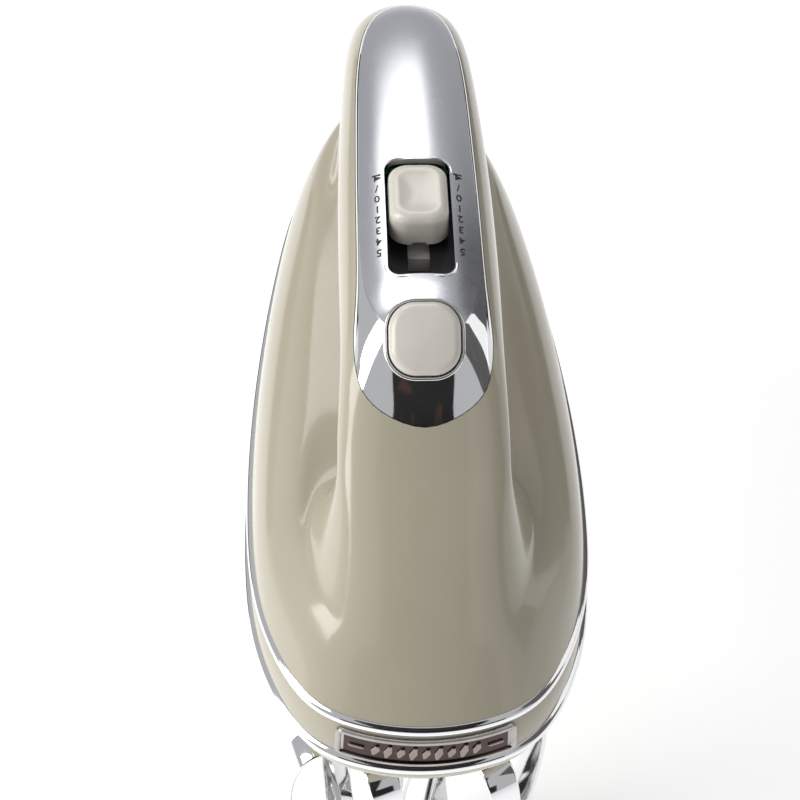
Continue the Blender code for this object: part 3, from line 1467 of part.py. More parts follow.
def beater_loop(name, x, phase, stagger):
    """A flat strip bent into a loop, open at the top where it meets the collar."""
    half, bottom = loop_route(stagger)
    knots = half + [bottom] + [Vector((-point.x, point.y)) for point in reversed(half)]
    ends = [2 * knots[0] - knots[1]] + knots + [2 * knots[-1] - knots[-2]]
    line = spline_through(ends, 3)
    shape = prism_shape(strip_outline(line, STRIP_THICKNESS), -STRIP_WIDTH / 2, STRIP_WIDTH / 2)
    upright = Matrix.Rotation(math.radians(90.0), 4, "X")
    shape.transform(Matrix.Translation((x, BEATER_Y, 0.0)) @ Matrix.Rotation(phase, 4, "Z") @ upright)
    return piece(name, shape, CHROME, Vector((x, BEATER_Y, COLLAR_BOTTOM)))


# ---------------------------------------------------------------- fasteners and pads


def housing_screws():
    """Four screws that hold the pan to the gearbox base, with crossed recesses in their heads."""
    seat = PAN_BOTTOM + SCREW_SINK - GAP
    head = 0.8 * SCREW_SINK
    profile = [
        (0.0, seat + SCREW_LENGTH - SCREW_SINK),
        (0.6 * SCREW_RADIUS, seat + SCREW_LENGTH - SCREW_SINK),
        (SCREW_RADIUS, seat + SCREW_LENGTH - SCREW_SINK - 1.0 * MM),
        (SCREW_RADIUS, seat),
        (SCREW_HEAD_RADIUS, seat),
        (SCREW_HEAD_RADIUS, seat - 0.6 * head),
        (0.8 * SCREW_HEAD_RADIUS, seat - head),
        (0.0, seat - head),
    ]
    for number, (x, y) in enumerate(pillar_places(), start=1):
        turned(f"housing_screw_{number}", profile, STEEL, Vector((x, y, 0.0)), steps=12)


def rest_pads():
    """Two rubber pads under the tail, on which the mixer is set down."""
    for name, side in (("left", -1), ("right", 1)):
        centre = Vector((side * PAD_X, pad_y(), PAN_BOTTOM - GAP - PAD_HEIGHT / 2))
        obj = piece("rest_pad_" + name, rod_shape(PAD_RADIUS, PAD_HEIGHT, centre, segments=28), RUBBER)
        bevel(obj, 0.4 * MM, segments=1)


# ---------------------------------------------------------------- assembly


def main():
    housing = skin_object()
    surface = evaluated_mesh(housing)
    outline = rim_outline(surface)
    tree = skin_tree(surface)
    shell = housing.modifiers.new("wall", "SOLIDIFY")
    shell.thickness = WALL
    shell.offset = -1.0
    shell.use_even_offset = True
    span = 4 * BODY_LENGTH
    below = box_shape((span, span, 10 * WALL), Vector((0.0, 0.0, -5 * WALL)))
    cut(housing, cutter("below_rim", below))
    cut(housing, cutter("cover_opening", sheet_block(tree, GAP, 3 * WALL, HANDLE_TOP)))
    cut(housing, gland_hole())
    upper_trim_ring(outline)
    band_housing(outline)
    lower_trim_ring(outline)
    lower_housing(outline)
    nameplate(outline)
    handle_cover(tree)
    speed_knob()
    slider_carriage()
    slider_deck()
    eject_bar()
    eject_fork()
    eject_spring()
    turbo_button(tree)
    turbo_switch(tree)
    turbo_spring(tree)
    handle_electrics()
    cord_gland(tree)
    motor_stator()
    field_coil("field_coil_upper", 1)
    field_coil("field_coil_lower", -1)
    motor_rotor()
    bearing("bearing_front", FRONT_BRACKET_Y - (BEARING_WIDTH - BRACKET_WIDTH) / 2)
    bearing("bearing_rear", rear_bracket_y() - (BEARING_WIDTH - BRACKET_WIDTH) / 2)
    motor_bracket("motor_bracket_front", FRONT_BRACKET_Y)
    motor_bracket("motor_bracket_rear", rear_bracket_y())
    brush_gear()
    gearbox_base()
    gearbox_top()
    spindle_set("left", -1, LEFT_PHASE)
    spindle_set("right", 1, math.radians(135.0) - LEFT_PHASE)
    housing_screws()
    rest_pads()
    bpy.data.meshes.remove(surface)


main()
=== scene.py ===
"""The looks of a retro hand mixer with a loop handle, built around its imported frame.

Every class below is one sub-assembly of the mixer. Its fields are sizes in metres, or shares of the
frame's own boxes, and its methods build the meshes, dress them and hand them to the body that they
move with.
"""

import json
import logging
import math
from collections.abc import Callable
from dataclasses import dataclass, field
from enum import Enum
from typing import Any

import bmesh
import bpy
from mathutils import Matrix, Vector
from mathutils.bvhtree import BVHTree


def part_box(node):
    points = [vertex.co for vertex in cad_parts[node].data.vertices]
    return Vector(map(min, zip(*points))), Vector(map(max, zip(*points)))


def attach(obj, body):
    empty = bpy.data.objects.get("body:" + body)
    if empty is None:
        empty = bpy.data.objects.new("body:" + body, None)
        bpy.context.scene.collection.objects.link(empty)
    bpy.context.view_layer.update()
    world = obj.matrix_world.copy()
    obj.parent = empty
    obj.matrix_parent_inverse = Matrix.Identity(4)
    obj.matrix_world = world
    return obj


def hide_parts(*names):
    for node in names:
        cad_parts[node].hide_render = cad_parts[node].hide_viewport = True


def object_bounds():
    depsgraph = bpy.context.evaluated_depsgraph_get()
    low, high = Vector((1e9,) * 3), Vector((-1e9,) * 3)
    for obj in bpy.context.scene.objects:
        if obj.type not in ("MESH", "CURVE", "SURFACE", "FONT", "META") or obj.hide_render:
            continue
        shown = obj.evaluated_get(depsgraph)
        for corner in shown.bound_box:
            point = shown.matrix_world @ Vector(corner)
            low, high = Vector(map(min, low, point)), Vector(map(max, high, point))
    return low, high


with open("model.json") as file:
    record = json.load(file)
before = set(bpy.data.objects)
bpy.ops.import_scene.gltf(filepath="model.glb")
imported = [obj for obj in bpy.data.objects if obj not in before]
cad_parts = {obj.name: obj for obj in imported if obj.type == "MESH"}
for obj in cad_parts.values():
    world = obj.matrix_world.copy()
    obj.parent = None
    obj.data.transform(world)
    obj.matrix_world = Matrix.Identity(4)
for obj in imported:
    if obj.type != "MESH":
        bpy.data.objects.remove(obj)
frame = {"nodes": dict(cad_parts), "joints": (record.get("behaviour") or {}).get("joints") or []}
CAD_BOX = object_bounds()

MM = 0.001
MERGE = 1e-6
ABOVE = 1.0
QUARTER = math.radians(90.0)
SIDE = Vector((1.0, 0.0, 0.0))
UP = Vector((0.0, 0.0, 1.0))
Triple = tuple[float, float, float]
log = logging.getLogger("hand_mixer")


# ---------------------------------------------------------------- shader graph


class Value:
    """A number in a material that changes over the surface; arithmetic on it adds Math nodes."""

    def __init__(self, graph: "Graph", socket: bpy.types.NodeSocket) -> None:
        """Keeps the graph and the socket that the number comes from."""
        self.graph = graph
        self.socket = socket

    def math(self, operation: str, *others: "Value | float") -> "Value":
        """Applies one Math node.

        Args:
            operation: the node's operation.
            others: the values that follow this one in the node's sockets.

        Returns:
            The node's result.
        """
        inputs = dict(enumerate((self, *others)))
        made = self.graph.node("ShaderNodeMath", {"operation": operation}, inputs)
        return Value(self.graph, made.outputs[0])

    def __add__(self, other: "Value | float") -> "Value":
        """This value plus another."""
        return self.math("ADD", other)

    def __sub__(self, other: "Value | float") -> "Value":
        """This value less another."""
        return self.math("SUBTRACT", other)

    def __mul__(self, other: "Value | float") -> "Value":
        """This value times another."""
        return self.math("MULTIPLY", other)

    def __rsub__(self, other: float) -> "Value":
        """A number less this value."""
        return (self * -1.0) + other

    __radd__ = __add__
    __rmul__ = __mul__

    def between(self, low: float, high: float) -> "Value":
        """A smooth step that is 0 up to low and 1 from high on."""
        settings = {"interpolation_type": "SMOOTHSTEP"}
        inputs = {"Value": self, "From Min": low, "From Max": high}
        made = self.graph.node("ShaderNodeMapRange", settings, inputs)
        return Value(self.graph, made.outputs[0])


class Graph:
    """A node material built around one Principled shader."""

    def __init__(self, name: str) -> None:
        """Starts a material of that name with its default shader."""
        self.material = bpy.data.materials.new(name)
        self.material.use_nodes = True
        self.tree = self.material.node_tree
        self.shader = self.tree.nodes["Principled BSDF"]
        self.place = self.node("ShaderNodeTexCoord").outputs["Object"]

    def node(
        self, kind: str, settings: dict[str, Any] | None = None, inputs: dict[str | int, Any] | None = None
    ) -> bpy.types.Node:
        """Adds a node.

        Args:
            kind: the node's type.
            settings: its properties, which are set first.
            inputs: values or links of its sockets, by name or number.

        Returns:
            The node.
        """
        made = self.tree.nodes.new(kind)
        for key, value in (settings or {}).items():
            setattr(made, key, value)
        for key, value in (inputs or {}).items():
            self.feed(made.inputs[key], value)
        return made

    def feed(self, socket: bpy.types.NodeSocket, value: Any) -> None:
        """Links a value or a socket to a socket, or sets the number or colour that it holds."""
        if isinstance(value, Value):
            value = value.socket
        if isinstance(value, bpy.types.NodeSocket):
            self.tree.links.new(value, socket)
        else:
            socket.default_value = value

    def stretched(self, stretch: Triple) -> bpy.types.NodeSocket:
        """The object's coordinates, scaled along each axis."""
        made = self.node("ShaderNodeMapping", None, {"Vector": self.place, "Scale": stretch})
        return made.outputs[0]

    def noise(self, grain: float, detail: float = 2.0, stretch: Triple = (1.0, 1.0, 1.0)) -> Value:
        """Noise from 0 to 1.

        Args:
            grain: the size of its patches, in metres.
            detail: how many finer layers it has.
            stretch: how much finer it is along each axis.

        Returns:
            The noise.
        """
        inputs = {"Vector": self.stretched(stretch), "Scale": 1.0 / grain, "Detail": detail}
        return Value(self, self.node("ShaderNodeTexNoise", None, inputs).outputs["Fac"])

    def cells(self, grain: float) -> Value:
        """The distance from the middles of random cells of that size, in metres."""
        inputs = {"Vector": self.place, "Scale": 1.0 / grain}
        return Value(self, self.node("ShaderNodeTexVoronoi", None, inputs).outputs["Distance"])

    def stripes(self, pitch: float, axis: str, waver: float = 0.0) -> Value:
        """Even stripes across an axis.

        Args:
            pitch: the distance from one stripe to the next, in metres.
            axis: the axis that they cross: X, Y or Z.
            waver: how far they bend from straight lines.

        Returns:
            A wave from 0 to 1.
        """
        settings = {"wave_type": "BANDS", "bands_direction": axis, "wave_profile": "SIN"}
        inputs = {"Vector": self.place, "Scale": math.pi / (10.0 * pitch), "Distortion": waver}
        return Value(self, self.node("ShaderNodeTexWave", settings, inputs).outputs["Fac"])

    def colour(self, share: Value, low: Triple, high: Triple) -> bpy.types.NodeSocket:
        """A colour between two, by a share from 0 to 1."""
        inputs = {0: share, 6: (*low, 1.0), 7: (*high, 1.0)}
        return self.node("ShaderNodeMix", {"data_type": "RGBA"}, inputs).outputs[2]

    def relief(self, height: Value, depth: float, strength: float) -> None:
        """Turns a height from 0 to 1 into a bump of that depth in metres."""
        inputs = {"Height": height, "Distance": depth, "Strength": strength}
        bump = self.node("ShaderNodeBump", None, inputs)
        self.dress({"Normal": bump.outputs["Normal"]})

    def dress(self, inputs: dict[str, Any]) -> None:
        """Sets or links sockets of the Principled shader."""
        for key, value in inputs.items():
            self.feed(self.shader.inputs[key], value)


def shaded(colour: Triple, factor: float) -> Triple:
    """The colour, darker or lighter by a factor."""
    return tuple(min(channel * factor, 1.0) for channel in colour)


@dataclass(frozen=True)
class Finish:
    """A surface finish: how a material of one kind looks."""

    name: str
    slot: str
    colour: Triple

    def material(self) -> bpy.types.Material:
        """Builds the finish's node material, or finds the one that was built before.

        Returns:
            The material.
        """
        ready = bpy.data.materials.get(self.name)
        if ready is not None:
            return ready
        graph = Graph(self.name)
        self.paint(graph)
        return graph.material

    def paint(self, graph: Graph) -> None:
        """Fills the graph. Each kind of finish does so in its own way."""
        raise NotImplementedError


@dataclass(frozen=True)
class GlossPlastic(Finish):
    """Polished moulded plastic: slightly uneven colour, faint flow waves and fine handling marks."""

    roughness: float = 0.16
    coat: float = 0.35
    unevenness: float = 0.05
    wave: float = 3.0 * MM

    def paint(self, graph: Graph) -> None:
        """Mottles the colour, lets the gloss vary and adds a shallow moulded wave."""
        cloud = graph.noise(26.0 * MM, 2.0)
        speck = graph.noise(0.35 * MM, 2.0)
        tint = cloud * 0.75 + speck * 0.25
        low, high = shaded(self.colour, 1.0 - self.unevenness), shaded(self.colour, 1.0 + self.unevenness)
        smudge = graph.noise(9.0 * MM, 4.0).between(0.45, 0.75)
        graph.dress(
            {
                "Base Color": graph.colour(tint, low, high),
                "Roughness": smudge * 0.05 + self.roughness,
                "Coat Weight": self.coat,
                "Coat Roughness": 0.08,
                "IOR": 1.5,
            }
        )
        graph.relief(graph.noise(self.wave, 1.0), 0.02 * MM, 0.25)


@dataclass(frozen=True)
class MirrorChrome(Finish):
    """Bright plated metal with faint cloudy wiping marks."""

    roughness: float = 0.045

    def paint(self, graph: Graph) -> None:
        """Varies the gloss by wiping marks and the colour by a trace."""
        cloud = graph.noise(7.0 * MM, 3.0)
        wiped = graph.noise(1.2 * MM, 3.0, (1.0, 0.15, 1.0)).between(0.4, 0.8)
        graph.dress(
            {
                "Base Color": graph.colour(cloud, shaded(self.colour, 0.96), self.colour),
                "Roughness": cloud * 0.03 + wiped * 0.03 + self.roughness,
                "Metallic": 1.0,
            }
        )
        graph.relief(graph.noise(2.5 * MM, 1.0), 0.01 * MM, 0.12)


@dataclass(frozen=True)
class SatinMetal(Finish):
    """Plated metal blasted to a soft sheen, with a fine grain."""

    roughness: float = 0.26
    grain: float = 0.12 * MM

    def paint(self, graph: Graph) -> None:
        """Adds a fine speckle to the colour, the gloss and the relief."""
        speck = graph.noise(self.grain, 3.0)
        cloud = graph.noise(14.0 * MM, 2.0)
        graph.dress(
            {
                "Base Color": graph.colour(speck, shaded(self.colour, 0.97), shaded(self.colour, 1.03)),
                "Roughness": speck * 0.08 + cloud * 0.06 + (self.roughness - 0.07),
                "Metallic": 1.0,
            }
        )
        graph.relief(speck, 0.01 * MM, 0.25)


@dataclass(frozen=True)
class BrushedMetal(Finish):
    """Machined metal with fine lines round or along it."""

    roughness: float = 0.28
    lines: Triple = (1.0, 0.05, 1.0)

    def paint(self, graph: Graph) -> None:
        """Draws fine lines into the gloss and the relief."""
        line = graph.noise(0.25 * MM, 2.0, self.lines)
        graph.dress(
            {
                "Base Color": graph.colour(line, shaded(self.colour, 0.85), shaded(self.colour, 1.08)),
                "Roughness": line * 0.18 + (self.roughness - 0.09),
                "Metallic": 1.0,
            }
        )
        graph.relief(line, 0.01 * MM, 0.3)


@dataclass(frozen=True)
class Laminated(Finish):
    """A stack of thin oiled steel sheets, seen as fine stripes."""

    sheet: float = 0.5 * MM

    def paint(self, graph: Graph) -> None:
        """Stripes the colour, the gloss and the relief by the sheets."""
        stripe = graph.stripes(self.sheet, "Y", 0.2)
        oil = graph.noise(5.0 * MM, 3.0)
        graph.dress(
            {
                "Base Color": graph.colour(stripe, shaded(self.colour, 0.6), self.colour),
                "Roughness": oil * 0.25 + 0.3,
                "Metallic": 0.9,
            }
        )
        graph.relief(stripe, 0.1 * MM, 0.5)


@dataclass(frozen=True)
class WoundWire(Finish):
    """Enamelled wire wound tightly, side by side."""

    strand: float = 0.4 * MM
    axis: str = "Z"

    def paint(self, graph: Graph) -> None:
        """Draws the strands as wavering stripes with a varnish gloss."""
        strand = graph.stripes(self.strand, self.axis, 1.5)
        graph.dress(
            {
                "Base Color": graph.colour(strand, shaded(self.colour, 0.35), self.colour),
                "Roughness": strand * 0.1 + 0.25,
                "Metallic": 0.85,
                "Coat Weight": 0.4,
            }
        )
        graph.relief(strand, 0.2 * MM, 0.8)


@dataclass(frozen=True)
class GrainedPlastic(Finish):
    """Matte moulded plastic with a fine spark-eroded grain."""

    roughness: float = 0.5
    grain: float = 0.3 * MM

    def paint(self, graph: Graph) -> None:
        """Adds the grain to the relief and a soft mottle to the colour."""
        grain = graph.cells(self.grain)
        cloud = graph.noise(8.0 * MM, 3.0)
        graph.dress(
            {
                "Base Color": graph.colour(cloud, shaded(self.colour, 0.85), shaded(self.colour, 1.15)),
                "Roughness": cloud * 0.15 + (self.roughness - 0.07),
            }
        )
        graph.relief(grain, 0.05 * MM, 0.35)


@dataclass(frozen=True)
class CircuitBoard(Finish):
    """Green lacquered board with paler tracks under the lacquer."""

    def paint(self, graph: Graph) -> None:
        """Lays crossing tracks over the green."""
        along = graph.stripes(2.6 * MM, "X").between(0.72, 0.78)
        across = graph.stripes(3.4 * MM, "Y").between(0.80, 0.86)
        broken = graph.noise(6.0 * MM, 1.0).between(0.48, 0.52)
        tracks = along * broken + across * (1.0 - broken)
        graph.dress(
            {
                "Base Color": graph.colour(tracks, self.colour, shaded(self.colour, 2.6)),
                "Roughness": tracks * 0.1 + 0.35,
                "Coat Weight": 0.5,
            }
        )
        graph.relief(tracks, 0.1 * MM, 0.4)


@dataclass(frozen=True)
class DarkPlate(Finish):
    """Dark plated metal with a cloudy plating; on the nameplate a lighter copy paints a highlight on the
    frame and a darker copy paints shade into the sunk panel.
    """

    def paint(self, graph: Graph) -> None:
        """Clouds the plating and gives it a fine cast grain."""
        cloud = graph.noise(4.0 * MM, 3.0)
        grain = graph.noise(0.2 * MM, 2.0)
        graph.dress(
            {
                "Base Color": graph.colour(cloud, shaded(self.colour, 0.75), shaded(self.colour, 1.25)),
                "Roughness": grain * 0.12 + 0.14,
                "Metallic": 1.0,
            }
        )
        graph.relief(grain, 0.02 * MM, 0.3)


@dataclass(frozen=True)
class PrintedInk(Finish):
    """Flat black printing ink with a slightly broken edge."""

    def paint(self, graph: Graph) -> None:
        """Lets the ink's gloss and depth of colour vary a little."""
        patch = graph.noise(0.3 * MM, 2.0)
        graph.dress(
            {
                "Base Color": graph.colour(patch, self.colour, shaded(self.colour, 2.0)),
                "Roughness": patch * 0.2 + 0.35,
            }
        )


class Finishes(Enum):
    """The finishes that the mixer's pieces wear."""

    CASING = GlossPlastic("casing_beige_gloss", "glossy_beige", (0.405, 0.370, 0.285))
    KEYS = GlossPlastic("key_pale_gloss", "pale_knob", (0.60, 0.57, 0.51), 0.24, 0.25, 0.03, 2.0 * MM)
    CHROME = MirrorChrome("trim_chrome", "chrome", (0.86, 0.86, 0.87))
    CAP = MirrorChrome("cover_cap_chrome", "satin_chrome", (0.88, 0.88, 0.89), 0.03)
    SATIN = SatinMetal("cover_satin", "satin_chrome", (0.62, 0.63, 0.66))
    RIM = SatinMetal("slot_rim_satin", "satin_chrome", (0.86, 0.86, 0.88), 0.2)
    # Nameplate plating: the lighter edging colour is a painted highlight on the frame, and the near-black
    # panel colour is painted shade in the sunk panel.
    EDGING_PAINTED_HIGHLIGHT = DarkPlate("nameplate_edging_painted_highlight", "dark_chrome", (0.42, 0.40, 0.38))
    PLATE = DarkPlate("nameplate_relief_plate", "dark_chrome", (0.30, 0.25, 0.23))
    PANEL = DarkPlate("nameplate_panel_painted_shade", "dark_chrome", (0.07, 0.045, 0.045))
    BLACK = GrainedPlastic("black_moulding", "black_plastic", (0.018, 0.018, 0.02))
    INK = PrintedInk("scale_ink", "black_plastic", (0.012, 0.012, 0.013))
    NYLON = GrainedPlastic("natural_nylon", "white_nylon", (0.72, 0.70, 0.64), 0.42, 0.6 * MM)
    RUBBER = GrainedPlastic("grey_rubber_skin", "grey_rubber", (0.09, 0.09, 0.09), 0.75, 0.4 * MM)
    CARBON = GrainedPlastic("pressed_carbon", "carbon", (0.035, 0.035, 0.04), 0.6, 0.2 * MM)
    STEEL = BrushedMetal("turned_steel", "steel", (0.56, 0.56, 0.57))
    BRASS = BrushedMetal("drawn_brass", "brass", (0.66, 0.50, 0.22), 0.26)
    LAMINATIONS = Laminated("stacked_sheets", "lamination_steel", (0.32, 0.32, 0.34))
    WINDING = WoundWire("enamelled_wire", "enamelled_copper", (0.62, 0.24, 0.10))
    BOARD = CircuitBoard("lacquered_board", "green_board", (0.03, 0.16, 0.07))


# ---------------------------------------------------------------- mesh tools


def vertices_in(items: list[Any]) -> list[bmesh.types.BMVert]:
    """The vertices among an operator's results."""
    return [item for item in items if isinstance(item, bmesh.types.BMVert)]


def loft(rings: list[list[Vector]], capped: bool = False, looped: bool = False) -> bmesh.types.BMesh:
    """Draws the first ring and extrudes it to each of the others in turn.

    Args:
        rings: rows of points, each with the same count.
        capped: whether the first and last ring are filled.
        looped: whether the last ring is joined to the first.

    Returns:
        The shape.
    """
    shape = bmesh.new()
    station = shape.verts.layers.int.new("station")
    row = [shape.verts.new(point) for point in rings[0]]
    for index, vertex in enumerate(row):
        vertex[station] = index
    edges = [shape.edges.new(pair) for pair in zip(row, row[1:] + row[:1])]
    first = edges
    for ring in rings[1:] + (rings[:1] if looped else []):
        raised = bmesh.ops.extrude_edge_only(shape, edges=edges)["geom"]
        moved = set(vertices_in(raised))
        for vertex in moved:
            vertex.co = ring[vertex[station]]
        edges = [
            edge for edge in raised if isinstance(edge, bmesh.types.BMEdge) and set(edge.verts) <= moved
        ]
    if capped:
        bmesh.ops.edgeloop_fill(shape, edges=first)
        bmesh.ops.edgeloop_fill(shape, edges=edges)
    bmesh.ops.remove_doubles(shape, verts=shape.verts, dist=MERGE)
    return shape


def add_part(shape: bmesh.types.BMesh, part: bmesh.types.BMesh) -> None:
    """Adds a part's faces to a shape and frees the part."""
    mesh = bpy.data.meshes.new("part")
    part.to_mesh(mesh)
    part.free()
    shape.from_mesh(mesh)
    bpy.data.meshes.remove(mesh)


def facing_up(shape: bmesh.types.BMesh) -> bmesh.types.BMesh:
    """Turns the faces of an open sheet so that on the whole they look upwards."""
    bmesh.ops.recalc_face_normals(shape, faces=shape.faces)
    if sum(face.normal.z * face.calc_area() for face in shape.faces) < 0.0:
        bmesh.ops.reverse_faces(shape, faces=shape.faces)
    return shape


def tree_of(mesh: bpy.types.Mesh) -> BVHTree:
    """A search tree of a mesh's faces."""
    points = [vertex.co.copy() for vertex in mesh.vertices]
    return BVHTree.FromPolygons(points, [tuple(face.vertices) for face in mesh.polygons])


def plumb(tree: BVHTree, x: float, y: float) -> tuple[Vector, Vector]:
    """Where a plumb line first meets a surface under a point of the plan, and which way that faces."""
    hit = tree.ray_cast(Vector((x, y, ABOVE)), -UP)
    return hit[0], hit[1]


def turned(place: Vector, axis: str = "X") -> Matrix:
    """A quarter turn about an axis, at a place."""
    return Matrix.Translation(place) @ Matrix.Rotation(QUARTER, 4, axis)


def sized(place: Vector, size: Triple) -> Matrix:
    """The placing of a unit cube as a block of some size."""
    return Matrix.Translation(place) @ Matrix.Diagonal((*size, 1.0))


def add_rod(shape: bmesh.types.BMesh, radius: float, length: float, matrix: Matrix) -> None:
    """Adds a round rod to a shape."""
    bmesh.ops.create_cone(
        shape, cap_ends=True, segments=48, radius1=radius, radius2=radius, depth=length, matrix=matrix
    )


def closed_up(shape: bmesh.types.BMesh) -> bmesh.types.BMesh:
    """Turns every face of a closed shape outwards."""
    bmesh.ops.recalc_face_normals(shape, faces=shape.faces)
    if shape.calc_volume(signed=True) < 0.0:
        bmesh.ops.reverse_faces(shape, faces=shape.faces)
    return shape


def mesh_of(shape: bmesh.types.BMesh, name: str, sharp: float = 32.0) -> bpy.types.Mesh:
    """Makes a mesh of the shape, smooth but for edges sharper than an angle in degrees."""
    mesh = bpy.data.meshes.new(name)
    shape.to_mesh(mesh)
    shape.free()
    mesh.shade_smooth()
    mesh.set_sharp_from_angle(angle=math.radians(sharp))
    return mesh


def new_object(name: str, shape: bmesh.types.BMesh | bpy.types.Mesh, sharp: float = 32.0) -> bpy.types.Object:
    """Links a new object with the shape's mesh."""
    mesh = shape if isinstance(shape, bpy.types.Mesh) else mesh_of(shape, name, sharp)
    made = bpy.data.objects.new(name, mesh)
    bpy.context.scene.collection.objects.link(made)
    return made


def settle(obj: bpy.types.Object, sharp: float = 32.0) -> bpy.types.Object:
    """Applies an object's modifiers to its mesh."""
    depsgraph = bpy.context.evaluated_depsgraph_get()
    mesh = bpy.data.meshes.new_from_object(obj.evaluated_get(depsgraph), depsgraph=depsgraph)
    obj.modifiers.clear()
    obj.data = mesh
    mesh.shade_smooth()
    mesh.set_sharp_from_angle(angle=math.radians(sharp))
    return obj


def carve(obj: bpy.types.Object, tool_shape: bmesh.types.BMesh, sharp: float = 32.0) -> bpy.types.Object:
    """Cuts a closed shape out of an object.

    Args:
        obj: the object that is cut.
        tool_shape: the shape that is taken away.
        sharp: the angle in degrees above which an edge stays sharp.

    Returns:
        The object.
    """
    tool = new_object(obj.name + "_tool", closed_up(tool_shape))
    modifier = obj.modifiers.new("cut", "BOOLEAN")
    modifier.operation = "DIFFERENCE"
    modifier.solver = "EXACT"
    modifier.object = tool
    settle(obj, sharp)
    bpy.data.objects.remove(tool)
    return obj


def soften(obj: bpy.types.Object, width: float, angle: float) -> bpy.types.Object:
    """Rounds the edges of an object that are sharper than an angle in degrees."""
    modifier = obj.modifiers.new("rounded_edges", "BEVEL")
    modifier.width = width
    modifier.segments = 2
    modifier.limit_method = "ANGLE"
    modifier.angle_limit = math.radians(angle)
    modifier.harden_normals = False
    return settle(obj)


def rounded_rectangle(width: float, length: float, radius: float, steps: int = 8) -> list[Vector]:
    """The outline of a rectangle with round corners, about its own middle, anticlockwise."""
    points = []
    for quarter, (side_x, side_y) in enumerate(((1, 1), (-1, 1), (-1, -1), (1, -1))):
        for step in range(steps + 1):
            angle = QUARTER * (quarter + step / steps)
            x = side_x * (width / 2 - radius) + radius * math.cos(angle)
            y = side_y * (length / 2 - radius) + radius * math.sin(angle)
            points.append(Vector((x, y)))
    return points


def outward(points: list[Vector]) -> list[Vector]:
    """The outward direction at each point of a closed flat outline that goes round anticlockwise."""
    directions = []
    for index in range(len(points)):
        tangent = points[(index + 1) % len(points)] - points[index - 1]
        directions.append(Vector((tangent.y, -tangent.x)).normalized())
    return directions


def grown(points: list[Vector], distance: float) -> list[Vector]:
    """A closed flat outline, moved outwards."""
    return [point + way * distance for point, way in zip(points, outward(points))]


def level(points: list[Vector], height: float) -> list[Vector]:
    """A flat outline, lifted to a height."""
    return [Vector((point.x, point.y, height)) for point in points]


def smooth_line(points: list[Vector], steps: int) -> list[Vector]:
    """Points on a smooth line through all but the first and last of the points given."""
    line = []
    for first, start, end, last in zip(points, points[1:], points[2:], points[3:]):
        for step in range(steps):
            share = step / steps
            bend = (2 * first - 5 * start + 4 * end - last) * share**2
            twist = (3 * start - first - 3 * end + last) * share**3
            line.append(0.5 * (2 * start + (end - first) * share + bend + twist))
    line.append(points[-2].copy())
    return line


def spun(profile: list[tuple[float, float]], centre: Vector, steps: int = 64) -> bmesh.types.BMesh:
    """A turned shape about an upright axis.

    Args:
        profile: (radius, height) points, as a closed loop or from axis to axis.
        centre: the point of the axis at height 0.
        steps: how many steps the turn has.

    Returns:
        The closed shape.
    """
    shape = bmesh.new()
    row = [shape.verts.new((centre.x + radius, centre.y, centre.z + height)) for radius, height in profile]
    on_axis = profile[0][0] == 0.0 and profile[-1][0] == 0.0
    pairs = zip(row, row[1:] if on_axis else row[1:] + row[:1])
    edges = [shape.edges.new(pair) for pair in pairs]
    geom = row + edges
    bmesh.ops.spin(shape, geom=geom, cent=centre, axis=UP, angle=math.tau, steps=steps, use_merge=True)
    bmesh.ops.remove_doubles(shape, verts=shape.verts, dist=MERGE)
    return closed_up(shape)


Pair = tuple[float, float]


def arc(centre: Pair, radii: Pair, start: float, end: float, steps: int) -> list[Vector]:
    """Points on a stretched arc between two angles in degrees."""
    points = []
    for step in range(steps + 1):
        angle = math.radians(start + (end - start) * step / steps)
        reach, rise = radii[0] * math.cos(angle), radii[1] * math.sin(angle)
        points.append(Vector((centre[0] + reach, centre[1] + rise)))
    return points


class Assembly:
    """What every sub-assembly shares: handing a finished piece to its body."""

    def show(
        self,
        obj: bpy.types.Object,
        body: str,
        finish: Finishes,
        nodes: tuple[str, ...] = (),
        extra: tuple[Finishes, ...] = (),
    ) -> bpy.types.Object:
        """Dresses a piece and makes it ride on its body.

        Args:
            obj: the piece.
            body: the body that it moves with.
            finish: the finish of its first material.
            nodes: the frame's nodes that it stands for.
            extra: finishes of its further materials.

        Returns:
            The piece.
        """
        obj.data.materials.clear()
        for worn in (finish, *extra):
            obj.data.materials.append(worn.value.material())
        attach(obj, body)
        if nodes:
            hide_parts(*nodes)
        log.info("%s: %d faces, on %s", obj.name, len(obj.data.polygons), body)
        return obj


# ---------------------------------------------------------------- the skin that everything lies on


